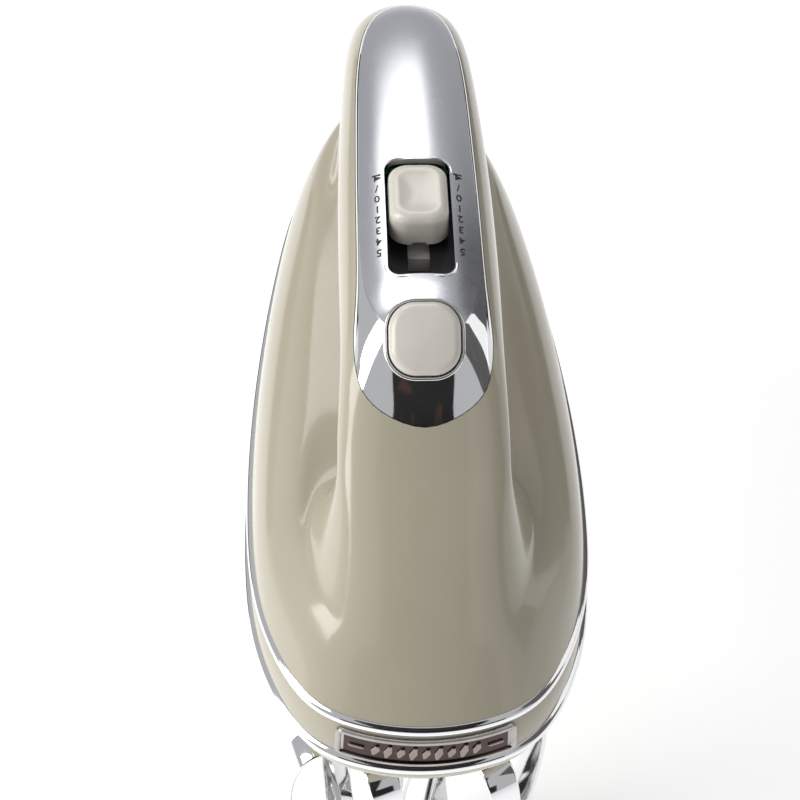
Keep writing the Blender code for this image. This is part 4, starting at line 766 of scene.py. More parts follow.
@dataclass
class Skin:
    """The outer surface of the upper housing: a dome, a neck, the grip and the rear post."""

    handle_height: float = 75.5 * MM
    handle_depth: float = 29.0 * MM
    handle_half_width: float = 20.2 * MM
    floor_height: float = 26.0 * MM
    dome_steps: tuple[float, ...] = (0.34, 0.68)
    fitting_passes: int = 8
    levels: int = 4
    rim: float = 0.0
    nose: float = 0.0
    length: float = 0.0
    half_width: float = 0.0
    surface: bpy.types.Mesh | None = None
    tree: BVHTree | None = None
    outline: list[Vector] = field(default_factory=list)

    def __post_init__(self) -> None:
        """Reads the body's box from the frame, then makes the surface, its search tree and its lower edge."""
        low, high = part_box("upper_housing")
        self.rim, self.nose = low.z, low.y
        self.length, self.half_width = high.y - low.y, high.x
        self.surface = self.made()
        self.tree = tree_of(self.surface)
        self.outline = self.lower_edge()

    def along(self, share: float) -> float:
        """The place along the body of a share of its length, from the nose."""
        return self.nose + share * self.length

    def spot(self, x: float, share: float, height: float) -> Vector:
        """A point from its offset, its share of the length and its height over the rim."""
        return Vector((x, self.along(share), self.rim + height))

    def plan(self) -> list[Vector]:
        """Half of the outline at the rim, from the nose round to the tail."""
        shares = (
            (0.0, 0.0),
            (0.42, 0.015),
            (0.72, 0.062),
            (0.93, 0.165),
            (1.0, 0.29),
            (0.985, 0.44),
            (0.91, 0.60),
            (0.80, 0.745),
            (0.66, 0.86),
            (0.40, 0.955),
            (0.0, 1.0),
        )
        return [self.spot(x * self.half_width, y, 0.0) for x, y in shares]

    def crown(self) -> list[Vector]:
        """Half of the line where the dome meets the neck, the open floor and the rear post."""
        shares = (
            (0.0, 0.092, 0.92),
            (0.97, 0.109, 0.86),
            (1.30, 0.195, 0.83),
            (1.19, 0.28, 0.76),
            (1.06, 0.379, 0.85),
            (0.99, 0.498, 0.92),
            (0.97, 0.62, 0.94),
            (0.95, 0.74, 0.93),
            (0.96, 0.83, 0.85),
            (0.66, 0.93, 0.88),
            (0.0, 0.965, 0.92),
        )
        return [self.spot(x * self.handle_half_width, y, z * self.floor_height) for x, y, z in shares]

    def dome_row(self, step: float) -> list[Vector]:
        """A row of points between the rim and the crown, on a dome that is fuller at its sides."""
        fullness = (0.12, 0.15, 0.45, 0.85, 1.0, 1.0, 1.0, 0.95, 0.8, 0.5, 0.3)
        turn = QUARTER * step
        row = []
        for low, high, full in zip(self.plan(), self.crown(), fullness):
            inward = (1 - full) * step + full * (1 - math.cos(turn))
            upward = (1 - full) * step + full * math.sin(turn)
            point = low.lerp(high, inward)
            point.z = self.rim + (high.z - self.rim) * upward
            row.append(point)
        return row

    def sections(self) -> list[list[Vector]]:
        """Half sections of the neck, grip and post, from their outer line round to their inner line."""
        low = self.handle_height - self.handle_depth
        side = self.handle_half_width
        rows = (
            (0.156, 0.50, 0.273, 0.77, 1.10),
            (0.218, 0.65, 0.289, 0.93, 1.05),
            (0.277, 0.82, 0.322, 1.00, 1.02),
            (0.341, 0.94, 0.375, 1.01, 1.00),
            (0.436, 0.995, 0.455, 1.00, 1.00),
            (0.578, 1.00, 0.583, 1.00, 0.98),
            (0.73, 0.99, 0.696, 0.99, 0.92),
            (0.858, 0.94, 0.758, 0.94, 0.86),
            (0.934, 0.78, 0.782, 0.82, 0.84),
            (0.957, 0.55, 0.775, 0.67, 0.88),
        )
        made = []
        for outer_y, outer_z, inner_y, inner_z, width in rows:
            outer = self.spot(0.0, outer_y, outer_z * self.handle_height)
            inner = self.spot(0.0, inner_y, inner_z * low)
            edge_out = outer.lerp(inner, 0.125) + Vector((0.73 * width * side, 0.0, 0.0))
            middle = outer.lerp(inner, 0.5) + Vector((width * side, 0.0, 0.0))
            edge_in = outer.lerp(inner, 0.88) + Vector((0.78 * width * side, 0.0, 0.0))
            made.append([outer, edge_out, middle, edge_in, inner])
        return made

    def floor_line(self) -> list[Vector]:
        """The middle line of the open floor under the grip."""
        shares = ((0.289, 0.87), (0.379, 0.97), (0.498, 1.02), (0.62, 1.03), (0.742, 1.0))
        return [self.spot(0.0, y, z * self.floor_height) for y, z in shares]

    def cage(self) -> tuple[bmesh.types.BMesh, list[Vector]]:
        """Half of the control cage, x >= 0.

        Returns:
            The cage, and the points that the finished surface goes through.
        """
        shape = bmesh.new()

        def chain(points: list[Vector]) -> list[bmesh.types.BMVert]:
            """Draws a row of points joined by edges."""
            row = [shape.verts.new(point) for point in points]
            for pair in zip(row, row[1:]):
                shape.edges.new(pair)
            return row

        def join(lower: list[bmesh.types.BMVert], upper: list[bmesh.types.BMVert]) -> None:
            """Bridges two rows."""
            edges = [shape.edges.get(pair) for row in (lower, upper) for pair in zip(row, row[1:])]
            bmesh.ops.bridge_loops(shape, edges=edges)

        rows = [self.plan(), *(self.dome_row(step) for step in self.dome_steps), self.crown()]
        dome = [chain(row) for row in rows]
        for lower, upper in zip(dome, dome[1:]):
            join(lower, upper)
        crown = dome[-1]
        middle = chain(self.floor_line())
        join(crown[3:8], middle)
        loop = crown[0:4] + middle[:1]
        for section in self.sections():
            following = chain(section)
            join(loop, following)
            loop = following
        join(loop, crown[10:6:-1] + middle[-1:])
        return shape, [vertex.co.copy() for vertex in shape.verts]

    def made(self) -> bpy.types.Mesh:
        """Fits the cage so that its smooth surface goes through the design's points.

        Returns:
            The open outer surface.
        """
        shape, targets = self.cage()
        obj = new_object("skin", shape)
        mirror = obj.modifiers.new("both_sides", "MIRROR")
        mirror.merge_threshold = 0.01 * MM
        mirror.use_clip = True
        rounding = obj.modifiers.new("rounding", "SUBSURF")
        rounding.levels = rounding.render_levels = 1
        for _ in range(self.fitting_passes):
            depsgraph = bpy.context.evaluated_depsgraph_get()
            reached = bpy.data.meshes.new_from_object(obj.evaluated_get(depsgraph), depsgraph=depsgraph)
            for vertex, target in zip(obj.data.vertices, targets):
                vertex.co += target - reached.vertices[vertex.index].co
            obj.data.update()
        rounding.levels = rounding.render_levels = self.levels
        settle(obj)
        mesh = obj.data
        bpy.data.objects.remove(obj)
        shape = bmesh.new()
        shape.from_mesh(mesh)
        return mesh_of(facing_up(shape), "skin")

    def lower_edge(self) -> list[Vector]:
        """The rim as flat points, going round anticlockwise."""
        shape = bmesh.new()
        shape.from_mesh(self.surface)
        edge = {vertex for line in shape.edges if line.is_boundary for vertex in line.verts}
        points = [vertex.co.to_2d() for vertex in edge]
        shape.free()
        middle = self.along(0.5)
        points.sort(key=lambda point: math.atan2(point.y - middle, point.x))
        return points

    def height(self, x: float, y: float) -> float:
        """The height of the surface over a point of the plan."""
        return plumb(self.tree, x, y)[0].z


# ---------------------------------------------------------------- casing


@dataclass
class Casing(Assembly):
    """Upper housing, trim rings, band, bottom pan, screws, pads and the cord's gland."""

    skin: Skin
    wall: float = 2.2 * MM
    gap: float = 0.3 * MM
    seam: float = 0.12 * MM
    ring_proud: float = 1.38 * MM
    band_flare: float = 1.2 * MM
    pan_tuck: float = 6.45 * MM
    pan_floor: float = 2.4 * MM
    edge: float = 0.35 * MM
    pan_edge: float = 0.25 * MM
    step: float = 0.05 * MM
    screw_head: float = 1.1 * MM
    screw_point: float = 1.0 * MM
    gland_ribs: int = 5
    gland_reach: float = 60.0 * MM
    vents: int = 7
    vent_offset: float = 4.0 * MM
    vent_pitch: float = 4.4 * MM
    vent_length: float = 26.0 * MM
    vent_width: float = 2.0 * MM

    def build(self, opening: Callable[[float, float, float], bmesh.types.BMesh]) -> None:
        """Makes every piece of the casing.

        Args:
            opening: makes the block that the cover's opening is cut with, from its growth, drop and height.
        """
        self.upper_housing(opening)
        self.trim_ring("upper_trim_ring", 0.0)
        self.trim_ring("lower_trim_ring", self.band_flare)
        self.band()
        self.pan()
        self.screws()
        self.pads()
        self.gland()

    def upper_housing(self, opening: Callable[[float, float, float], bmesh.types.BMesh]) -> None:
        """The beige body: the skin with its wall, open under the cover and at the cord's inlet."""
        obj = new_object("upper_housing_shell", self.skin.surface.copy())
        thick = obj.modifiers.new("wall", "SOLIDIFY")
        thick.thickness = self.wall
        thick.offset = -1.0
        thick.use_even_offset = True
        settle(obj)
        below = bmesh.new()
        span = 2 * self.skin.length
        place = Vector((0.0, 0.0, self.skin.rim - 2 * self.wall))
        bmesh.ops.create_cube(below, size=1.0, matrix=sized(place, (span, span, 4 * self.wall)))
        carve(obj, below)
        carve(obj, opening(self.seam, 3 * self.wall, self.skin.handle_height))
        low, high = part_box("cord_gland")
        hole = bmesh.new()
        add_rod(hole, (high.x - low.x) / 2 + self.gap, self.gland_reach, turned((low + high) / 2))
        carve(obj, hole)
        self.show(obj, "housing", Finishes.CASING, ("upper_housing",))

    def belt(self, name: str, section: list[Pair], finish: Finishes, node: str) -> None:
        """Sweeps a closed section of (distance outwards, height) round the rim and shows it."""
        rings = [level(grown(self.skin.outline, reach), height) for reach, height in section]
        obj = new_object(name, closed_up(loft(rings, looped=True)), 40.0)
        self.show(obj, "housing", finish, (node,))

    def trim_ring(self, node: str, reach: float) -> None:
        """A bright bead round the body, with a narrow step above it."""
        low, high = (corner.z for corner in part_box(node))
        middle, half = (low + high) / 2, (high - low) / 2
        bead = arc((reach, middle), (self.ring_proud, 0.92 * half), 78.0, -78.0, 14)
        section = [(self.step + reach, high)] + [(point.x, point.y) for point in bead]
        section += [(self.step + reach, low), (reach - self.wall, low), (reach - self.wall, high)]
        self.belt(node + "_bead", section, Finishes.CHROME, node)

    def band(self) -> None:
        """The beige belt between the two rings, a little wider at its foot."""
        low, high = (corner.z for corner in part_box("band_housing"))
        edge = self.edge
        section = [
            (-edge, high),
            (0.0, high - edge),
            (self.band_flare, low + edge),
            (self.band_flare - edge, low),
            (self.band_flare - self.wall, low),
            (-self.wall, high),
        ]
        self.belt("band_housing_belt", section, Finishes.CASING, "band_housing")

    def pan(self) -> None:
        """The bottom pan, rounded underneath, with its air slots and the holes for spindles and screws."""
        low, high = (corner.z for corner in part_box("lower_housing"))
        depth = high - low
        outline = self.skin.outline
        outer = arc((self.band_flare - self.pan_tuck, high), (self.pan_tuck, depth), 0.0, -90.0, 12)
        tuck, rise = self.pan_tuck - self.wall, depth - self.pan_floor
        inner = arc((self.band_flare - self.pan_tuck, high), (tuck, rise), -90.0, 0.0, 12)
        rings = [level(grown(outline, point.x), point.y) for point in outer]
        rings_in = [level(grown(outline, point.x), point.y) for point in inner]
        shape = bmesh.new()
        add_part(shape, loft(rings))
        add_part(shape, loft(rings_in))
        flat = {low: [], low + self.pan_floor: [], high: []}
        for edge in shape.edges:
            if edge.is_boundary:
                height = edge.verts[0].co.z
                nearest = min(flat, key=lambda level_z: abs(level_z - height))
                flat[nearest].append(edge)
        bmesh.ops.edgeloop_fill(shape, edges=flat[low])
        bmesh.ops.edgeloop_fill(shape, edges=flat[low + self.pan_floor])
        bmesh.ops.bridge_loops(shape, edges=flat[high])
        obj = new_object("lower_housing_pan", closed_up(shape), 40.0)
        carve(obj, self.pan_holes(low), 40.0)
        soften(obj, self.pan_edge, 50.0)
        self.show(obj, "housing", Finishes.CASING, ("lower_housing",))

    def pan_holes(self, low: float) -> bmesh.types.BMesh:
        """The spindle holes, screw seats and air slots of the pan."""
        holes = bmesh.new()
        spindles = [("spindle_left", 3 * self.gap), ("spindle_right", 3 * self.gap)]
        for name, play in spindles + [(name, self.gap) for name in self.screw_names()]:
            corner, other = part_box(name)
            middle = (corner + other) / 2
            place = Matrix.Translation((middle.x, middle.y, low + self.pan_floor / 2))
            add_rod(holes, (other.x - corner.x) / 2 + play, 3 * self.pan_floor, place)
        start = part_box("commutator")[0].y + self.vent_offset
        for number in range(self.vents):
            outline = rounded_rectangle(self.vent_length, self.vent_width, 0.48 * self.vent_width, 4)
            y = start + number * self.vent_pitch
            place = [point + Vector((0.0, y)) for point in outline]
            heights = (low - self.pan_floor, low + 2 * self.pan_floor)
            add_part(holes, loft([level(place, height) for height in heights], capped=True))
        return holes

    def screw_names(self) -> list[str]:
        """The names of the four screws."""
        return [f"housing_screw_{number}" for number in range(1, 5)]

    def screws(self) -> None:
        """Pan-head screws with crossed recesses."""
        for name in self.screw_names():
            low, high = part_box(name)
            radius = (high.x - low.x) / 2
            head = self.screw_head
            shank = 0.53 * radius
            centre = Vector(((low.x + high.x) / 2, (low.y + high.y) / 2, low.z))
            profile = [(0.0, 0.0), (0.55 * radius, 0.0), (0.85 * radius, 0.18 * head), (radius, 0.55 * head)]
            length = high.z - low.z
            profile += [(radius, head), (shank, head), (shank, length - self.screw_point)]
            profile += [(0.5 * shank, length), (0.0, length)]
            obj = new_object(name + "_head", spun(profile, centre, 32))
            for size in ((1.1 * radius, 0.22 * radius), (0.22 * radius, 1.1 * radius)):
                recess = bmesh.new()
                bmesh.ops.create_cube(recess, size=1.0, matrix=sized(centre, (*size, 1.2 * head)))
                carve(obj, recess)
            self.show(obj, "housing", Finishes.STEEL, (name,))

    def pads(self) -> None:
        """Two round rubber pads under the tail, domed at their edge."""
        for name in ("rest_pad_left", "rest_pad_right"):
            low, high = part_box(name)
            radius, height = (high.x - low.x) / 2, high.z - low.z
            centre = Vector(((low.x + high.x) / 2, (low.y + high.y) / 2, low.z))
            profile = [(0.0, 0.1 * MM), (0.7 * radius, 0.1 * MM), (0.74 * radius, 0.0)]
            profile += [(radius - 0.5 * MM, 0.0), (radius - 0.12 * MM, 0.14 * MM), (radius, 0.5 * MM)]
            profile += [(radius, height), (0.0, height)]
            obj = new_object(name + "_foot", spun(profile, centre, 48))
            self.show(obj, "housing", Finishes.RUBBER, (name,))

    def gland(self) -> None:
        """The ribbed rubber sleeve where the cord goes in."""
        low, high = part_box("cord_gland")
        radius, length = (high.x - low.x) / 2, high.y - low.y
        bore = 0.68 * radius
        profile = [(bore, 0.0), (radius - 0.6 * MM, 0.0), (radius, 0.6 * MM)]
        for number in range(self.gland_ribs):
            start = length * (0.12 + 0.8 * number / self.gland_ribs)
            profile += [(radius, start), (radius - 0.5 * MM, start + 0.3 * MM)]
            profile += [(radius - 0.5 * MM, start + 0.9 * MM), (radius, start + 1.2 * MM)]
        profile += [(radius - 0.3 * MM, length), (bore, length)]
        shape = spun(profile, Vector(), 48)
        middle = (low + high) / 2
        shape.transform(turned(Vector((middle.x, high.y, middle.z))))
        self.show(new_object("cord_gland_sleeve", shape), "housing", Finishes.RUBBER, ("cord_gland",))


@dataclass
class Nameplate(Assembly):
    """The dark plate on the nose: a frame with a painted highlight on its edge, a sunk panel in painted shade
    and a plain relief of bars.
    """

    skin: Skin
    corner: float = 1.6 * MM
    frame_width: float = 1.15 * MM
    depth: float = 1.2 * MM
    sink: float = 0.6 * MM
    stations: int = 44
    lozenges: int = 9

    def build(self) -> None:
        """Makes the plate flat, then bends it round the nose."""
        low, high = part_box("nameplate")
        band_low, band_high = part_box("band_housing")
        self.flare = (band_high.x - self.skin.half_width) / (band_high.z - band_low.z)
        self.band_top = band_high.z
        middle = (low.z + high.z) / 2
        width, height, depth = high.x - low.x, high.z - low.z, self.depth
        plate = self.plate(width, height, depth)
        relief = self.relief(width, height, depth)
        pieces = (("nameplate_frame", plate, ("nameplate",)), ("nameplate_relief", relief, ()))
        for name, shape, nodes in pieces:
            self.bend(shape, middle)
            obj = new_object(name, closed_up(shape), 28.0)
            # The frame wears the lighter plating as a painted highlight, and its sunk panel the near-black
            # plating as painted shade.
            finish = Finishes.EDGING_PAINTED_HIGHLIGHT if nodes else Finishes.PLATE
            self.show(obj, "housing", finish, nodes, (Finishes.PANEL,))
            self.paint_panel_shade(obj, middle, width / 2 - self.frame_width, height / 2 - self.frame_width)

    def plate(self, width: float, height: float, depth: float) -> bmesh.types.BMesh:
        """The plate, flat: x across, y up and z out of the body."""
        steps = [(0.0, 0.0), (0.0, depth - 0.35 * MM), (0.12 * MM, depth - 0.1 * MM), (0.35 * MM, depth)]
        steps += [(self.frame_width - 0.2 * MM, depth), (self.frame_width, depth - 0.2 * MM)]
        steps += [(self.frame_width + 0.25 * MM, depth - self.sink)]
        rings = []
        for inset, out in steps:
            outline = rounded_rectangle(width - 2 * inset, height - 2 * inset, self.corner - 0.6 * inset, 6)
            rings.append(level(outline, out))
        return loft(rings, capped=True)

    def relief(self, width: float, height: float, depth: float) -> bmesh.types.BMesh:
        """Raised bars and a middle diamond, flat, standing on the sunk panel."""
        shape = bmesh.new()
        floor = depth - self.sink - 0.1 * MM
        top = depth - 0.1 * MM
        room = width / 2 - self.frame_width - 1.6 * MM
        pitch = 1.44 * room / self.lozenges
        for number in range(self.lozenges):
            x = (number - (self.lozenges - 1) / 2) * pitch
            tall = (0.24 if number % 2 else 0.18) * height
            corners = ((0.36 * pitch, 0.0), (0.30 * pitch, tall), (0.02 * pitch, tall))
            lozenge = [Vector((sign * x, sign * y)) for sign in (1, -1) for x, y in corners]
            self.add_bar(shape, lozenge, Vector((x, 0.0)), floor, top)
        for side in (-1, 1):
            outline = rounded_rectangle(0.20 * room, 0.09 * height, 0.04 * height, 3)
            self.add_bar(shape, outline, Vector((side * 0.88 * room, 0.0)), floor, top)
        return shape

    def add_bar(
        self, shape: bmesh.types.BMesh, outline: list[Vector], centre: Vector, floor: float, top: float
    ) -> None:
        """Adds one raised bar with chamfered edges to the relief."""
        chamfer = 0.16 * MM
        placed = [point + centre for point in outline]
        rings = [level(placed, floor), level(placed, top - chamfer), level(grown(placed, -chamfer), top)]
        add_part(shape, closed_up(loft(rings, capped=True)))

    def paint_panel_shade(
        self, obj: bpy.types.Object, middle: float, half_width: float, half_height: float
    ) -> None:
        """Paints shade into the sunk panel of the frame: its outward faces there get the near-black plating.

        Args:
            obj: the frame or the relief.
            middle: the height of the plate's middle line.
            half_width: half the panel's width.
            half_height: half the panel's height.
        """
        for face in obj.data.polygons:
            centre = face.center
            inside = abs(centre.x) < half_width and abs(centre.z - middle) < half_height
            face.material_index = int(obj.name == "nameplate_frame" and inside and face.normal.y < 0.0)

    def bend(self, shape: bmesh.types.BMesh, middle: float) -> None:
        """Cuts a flat shape into narrow strips and lays it round the nose on the band.

        Args:
            shape: the shape, flat.
            middle: the height of its middle line.
        """
        reach = max(abs(vertex.co.x) for vertex in shape.verts)
        for step in range(1, self.stations):
            x = reach * (2 * step / self.stations - 1)
            geom = list(shape.verts) + list(shape.edges) + list(shape.faces)
            bmesh.ops.bisect_plane(shape, geom=geom, dist=MERGE, plane_co=(x, 0.0, 0.0), plane_no=SIDE)
        front = self.skin.along(0.3)
        nose = sorted((point for point in self.skin.outline if point.y < front), key=lambda p: p.x)
        for vertex in shape.verts:
            after = next(index for index, point in enumerate(nose) if point.x > vertex.co.x)
            start, end = nose[after - 1], nose[after]
            share = (vertex.co.x - start.x) / (end.x - start.x)
            tangent = (nose[after] - nose[after - 2]).lerp(nose[after + 1] - nose[after - 1], share)
            away = Vector((tangent.y, -tangent.x)).normalized()
            height = middle + vertex.co.y
            out = vertex.co.z + 0.3 * MM + self.flare * (self.band_top - height)
            place = start.lerp(end, share) + away * out
            vertex.co = (place.x, place.y, height)


# ---------------------------------------------------------------- handle cover


@dataclass
class HandleCover(Assembly):
    """The plated cover: a satin top face, a mirror cap at its front, a slot and a button window."""

    skin: Skin
    wall: float = 1.8 * MM
    gap: float = 0.3 * MM
    cap_lift: float = 3.1 * MM
    side_lift: float = 0.7 * MM
    bulge: float = 0.9 * MM
    slot_corner: float = 3.2 * MM
    slot_overlap: float = 2.0 * MM
    swell_height: float = 8.0 * MM
    lip_seat: float = 1.4 * MM
    mark_pitch: float = 3.5 * MM
    mark_start: float = 5.4 * MM
    mark_reach: float = 2.0 * MM
    mark_size: float = 3.1 * MM
    nose_half_width: float = 16.8 * MM
    half_width: float = 15.4 * MM
    steps: int = 5
    wall_rows: int = 4
    top_rows: int = 5
    front: float = 0.0
    length: float = 0.0
    slot: tuple[float, float] = (0.0, 0.0)
    slot_width: float = 0.0
    button: "KeyPlace | None" = None

    def __post_init__(self) -> None:
        """Reads the cover's own box, the slot's ends from the deck and the button's place from the frame."""
        low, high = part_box("handle_cover")
        self.front, self.length = low.y, high.y - low.y
        deck_low, deck_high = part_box("slider_deck")
        self.slot = (deck_low.y + self.slot_overlap, deck_high.y - self.slot_overlap)
        knob_low, knob_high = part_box("speed_knob")
        self.slot_width = knob_high.x - knob_low.x + 4 * self.gap
        self.button = KeyPlace.of_button()

    def rim_line(self) -> list[Vector]:
        """Half of the cover's outline in plan, from its front tip to its rear."""
        shares = (
            (0.0, 0.0, self.nose_half_width),
            (0.74, 0.034, self.nose_half_width),
            (1.0, 0.108, self.nose_half_width),
            (1.03, 0.264, self.half_width),
            (0.99, 0.54, self.half_width),
            (0.90, 0.815, self.half_width),
            (0.60, 0.959, self.half_width),
            (0.0, 1.0, self.half_width),
        )
        places = [Vector((x * width, self.front + y * self.length)) for x, y, width in shares]
        return self.round_the_end(places)

    def crest_line(self) -> list[Vector]:
        """Half of the line where the top face turns down into the cap and the sides."""
        shares = (
            (0.0, 0.108),
            (0.55, 0.126),
            (0.86, 0.19),
            (0.965, 0.294),
            (0.935, 0.54),
            (0.85, 0.812),
            (0.56, 0.951),
            (0.0, 0.991),
        )
        places = [Vector((x * self.half_width, self.front + y * self.length)) for x, y in shares]
        return self.round_the_end(places)

    def round_the_end(self, points: list[Vector]) -> list[Vector]:
        """A smooth half outline through the points, square to the middle line at both ends."""
        before = Vector((-points[1].x, points[1].y))
        beyond = Vector((-points[-2].x, points[-2].y))
        return smooth_line([before, *points, beyond], self.steps)

    def lift_at(self, y: float) -> float:
        """How far the top face stands above the skin: most at the front cap, little along the grip."""
        start = self.front + 0.12 * self.length
        share = min(max((y - start) / (self.slot[0] - start), 0.0), 1.0)
        ease = share * share * (3 - 2 * share)
        return self.cap_lift + (self.side_lift - self.cap_lift) * ease

    def sheet(self, growth: float = 0.0, drop: float = 0.0) -> bmesh.types.BMesh:
        """The cover's outer surface as an open sheet, with its rim on the skin.

        Args:
            growth: how far its rim moves outwards in plan.
            drop: how far it is lowered.

        Returns:
            The sheet.
        """
        rim, crest = self.rim_line(), self.crest_line()
        closed_rim = rim + [Vector((-point.x, point.y)) for point in reversed(rim[1:-1])]
        closed_crest = crest + [Vector((-point.x, point.y)) for point in reversed(crest[1:-1])]
        spread = grown(closed_rim, growth)
        rings = [self.on_skin(spread, closed_rim, 0.0, drop)]
        for row in range(1, self.wall_rows + 1):
            share = row / self.wall_rows
            rings.append(self.wall_ring(spread, closed_rim, closed_crest, share, drop))
        for row in range(1, self.top_rows + 1):
            share = 1.0 - row / self.top_rows
            flat = [Vector((point.x * share, point.y)) for point in closed_crest]
            rings.append(self.on_skin(flat, flat, 1.0, drop))
        return facing_up(loft(rings))

    def on_skin(self, places: list[Vector], seats: list[Vector], lifted: float, drop: float) -> list[Vector]:
        """Points at the skin's height under their seats, with a share of the top face's lift."""
        made = []
        for place, seat in zip(places, seats):
            height = self.skin.height(seat.x, seat.y) + lifted * self.lift_at(seat.y) - drop
            made.append(Vector((place.x, place.y, height)))
        return made

    def wall_ring(
        self, spread: list[Vector], rim: list[Vector], crest: list[Vector], share: float, drop: float
    ) -> list[Vector]:
        """A ring between the rim and the crest, on a wall that swells outwards."""
        lower = self.on_skin(spread, rim, 0.0, drop)
        upper = self.on_skin(crest, crest, 1.0, drop)
        made = []
        for low, high in zip(lower, upper):
            point = low.lerp(high, share)
            run = high - low
            tall = min(run.length / self.swell_height, 1.0)
            swell = self.bulge * tall * math.sin(math.pi * share)
            side = Vector((run.x, run.y, 0.0))
            away = UP - side.normalized() if side.length > MERGE else UP
            made.append(point + away.normalized() * swell)
        return made

    def block(self, growth: float, drop: float, height: float) -> bmesh.types.BMesh:
        """A block under and over the cover's footprint, for cutting the opening under it."""
        shape = self.sheet(growth, drop)
        raised = bmesh.ops.extrude_face_region(shape, geom=list(shape.faces))["geom"]
        bmesh.ops.translate(shape, verts=vertices_in(raised), vec=(0.0, 0.0, height))
        return shape

    def slot_outline(self, growth: float) -> list[Vector]:
        """The slider's slot in plan."""
        length = self.slot[1] - self.slot[0]
        middle = Vector((0.0, sum(self.slot) / 2))
        outline = rounded_rectangle(
            self.slot_width + 2 * growth, length + 2 * growth, self.slot_corner + growth, 10
        )
        return [point + middle for point in outline]

    def build(self) -> None:
        """Makes the cover, its slot's rim, the button's collar and the scale beside the slot."""
        obj = new_object("handle_cover_plated", self.sheet())
        crest = self.crest_line()
        rounding = obj.modifiers.new("rounding", "SUBSURF")
        rounding.levels = rounding.render_levels = 2
        self.mark_crest(obj.data, crest)
        thick = obj.modifiers.new("wall", "SOLIDIFY")
        thick.thickness = self.wall
        thick.offset = -1.0
        settle(obj, 30.0)
        outline = self.slot_outline(0.0)
        low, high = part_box("handle_cover")
        carve(obj, loft([level(outline, low.z), level(outline, high.z + 5 * MM)], capped=True), 30.0)
        window = self.button.outline(2 * self.gap)
        ends = [self.button.placed(window, reach * self.wall) for reach in (-3, 3)]
        carve(obj, loft(ends, capped=True), 30.0)
        self.show(obj, "housing", Finishes.CAP, ("handle_cover",), (Finishes.SATIN,))
        self.split_finishes(obj, crest)
        surface = tree_of(obj.data)
        self.slot_rim(surface)
        self.collar()
        self.scale(surface)

    def mark_crest(self, mesh: bpy.types.Mesh, crest: list[Vector]) -> None:
        """Creases the crest and the rim of the sheet, so that rounding keeps them."""
        shape = bmesh.new()
        shape.from_mesh(mesh)
        crease = shape.edges.layers.float.new("crease_edge")
        on_crest = {(round(abs(point.x), 6), round(point.y, 6)) for point in crest}
        for edge in shape.edges:
            ends = [(round(abs(vertex.co.x), 6), round(vertex.co.y, 6)) for vertex in edge.verts]
            if edge.is_boundary or all(end in on_crest for end in ends):
                edge[crease] = 1.0 if edge.is_boundary else 0.75
        shape.to_mesh(mesh)
        shape.free()

    def split_finishes(self, obj: bpy.types.Object, crest: list[Vector]) -> None:
        """Gives the faces inside the crest the satin finish."""
        for face in obj.data.polygons:
            centre = face.center
            inside = self.crest_half_width(crest, centre.y)
            face.material_index = int(abs(centre.x) < inside and face.normal.z > 0.4)

    def crest_half_width(self, crest: list[Vector], y: float) -> float:
        """The crest's distance from the middle line at a place along the body."""
        for start, end in zip(crest, crest[1:]):
            if start.y <= y <= end.y and end.y > start.y:
                share = (y - start.y) / (end.y - start.y)
                return start.x + (end.x - start.x) * share
        return 0.0

    def slot_rim(self, surface: BVHTree) -> None:
        """The pale rounded lip round the slot."""
        outline = self.slot_outline(0.0)
        lip = arc((0.45 * MM, 0.0), (0.45 * MM, 0.32 * MM), 180.0, 0.0, 6)
        section = [(0.02 * MM, -1.2 * MM)] + [(point.x, point.y) for point in lip] + [(0.88 * MM, -1.2 * MM)]
        seats = grown(outline, self.lip_seat)
        heights = [plumb(surface, point.x, point.y)[0].z for point in seats]
        rings = []
        for reach, rise in section:
            ring = grown(outline, reach)
            rings.append([Vector((point.x, point.y, z + rise)) for point, z in zip(ring, heights)])
        obj = new_object("slider_slot_lip", closed_up(loft(rings, looped=True)), 50.0)
        self.show(obj, "housing", Finishes.RIM)

    def collar(self) -> None:
        """The thin bright ring round the button."""
        outline = self.button.outline(2 * self.gap)
        bead = arc((0.45 * MM, 0.0), (0.4 * MM, 0.35 * MM), 180.0, 0.0, 6)
        section = [(0.05 * MM, -1.4 * MM)] + [(point.x, point.y) for point in bead] + [(0.85 * MM, -1.4 * MM)]
        rings = [self.button.placed(grown(outline, reach), rise) for reach, rise in section]
        obj = new_object("turbo_collar", closed_up(loft(rings, looped=True)), 50.0)
        self.show(obj, "housing", Finishes.CHROME)

    def scale(self, surface: BVHTree) -> None:
        """The printed speed scale on both sides of the slot: an eject mark, a stroke and 0 to 5."""
        start = self.slot[1] - self.mark_start
        marks = ["eject", "/", "0", "1", "2", "3", "4", "5"]
        reach = self.slot_width / 2 + self.mark_reach
        for side, name in ((-1, "left"), (1, "right")):
            printed = bmesh.new()
            for number, mark in enumerate(marks):
                spot, normal = plumb(surface, side * reach, start - number * self.mark_pitch)
                normal = normal if normal.z > 0 else -normal
                tilt = UP.rotation_difference(normal).to_matrix().to_4x4()
                place = Matrix.Translation(spot) @ tilt @ Matrix.Rotation(math.pi, 4, "Z")
                self.print_mark(printed, mark, place)
            obj = new_object(f"speed_scale_{name}", printed, 30.0)
            self.show(obj, "housing", Finishes.INK)

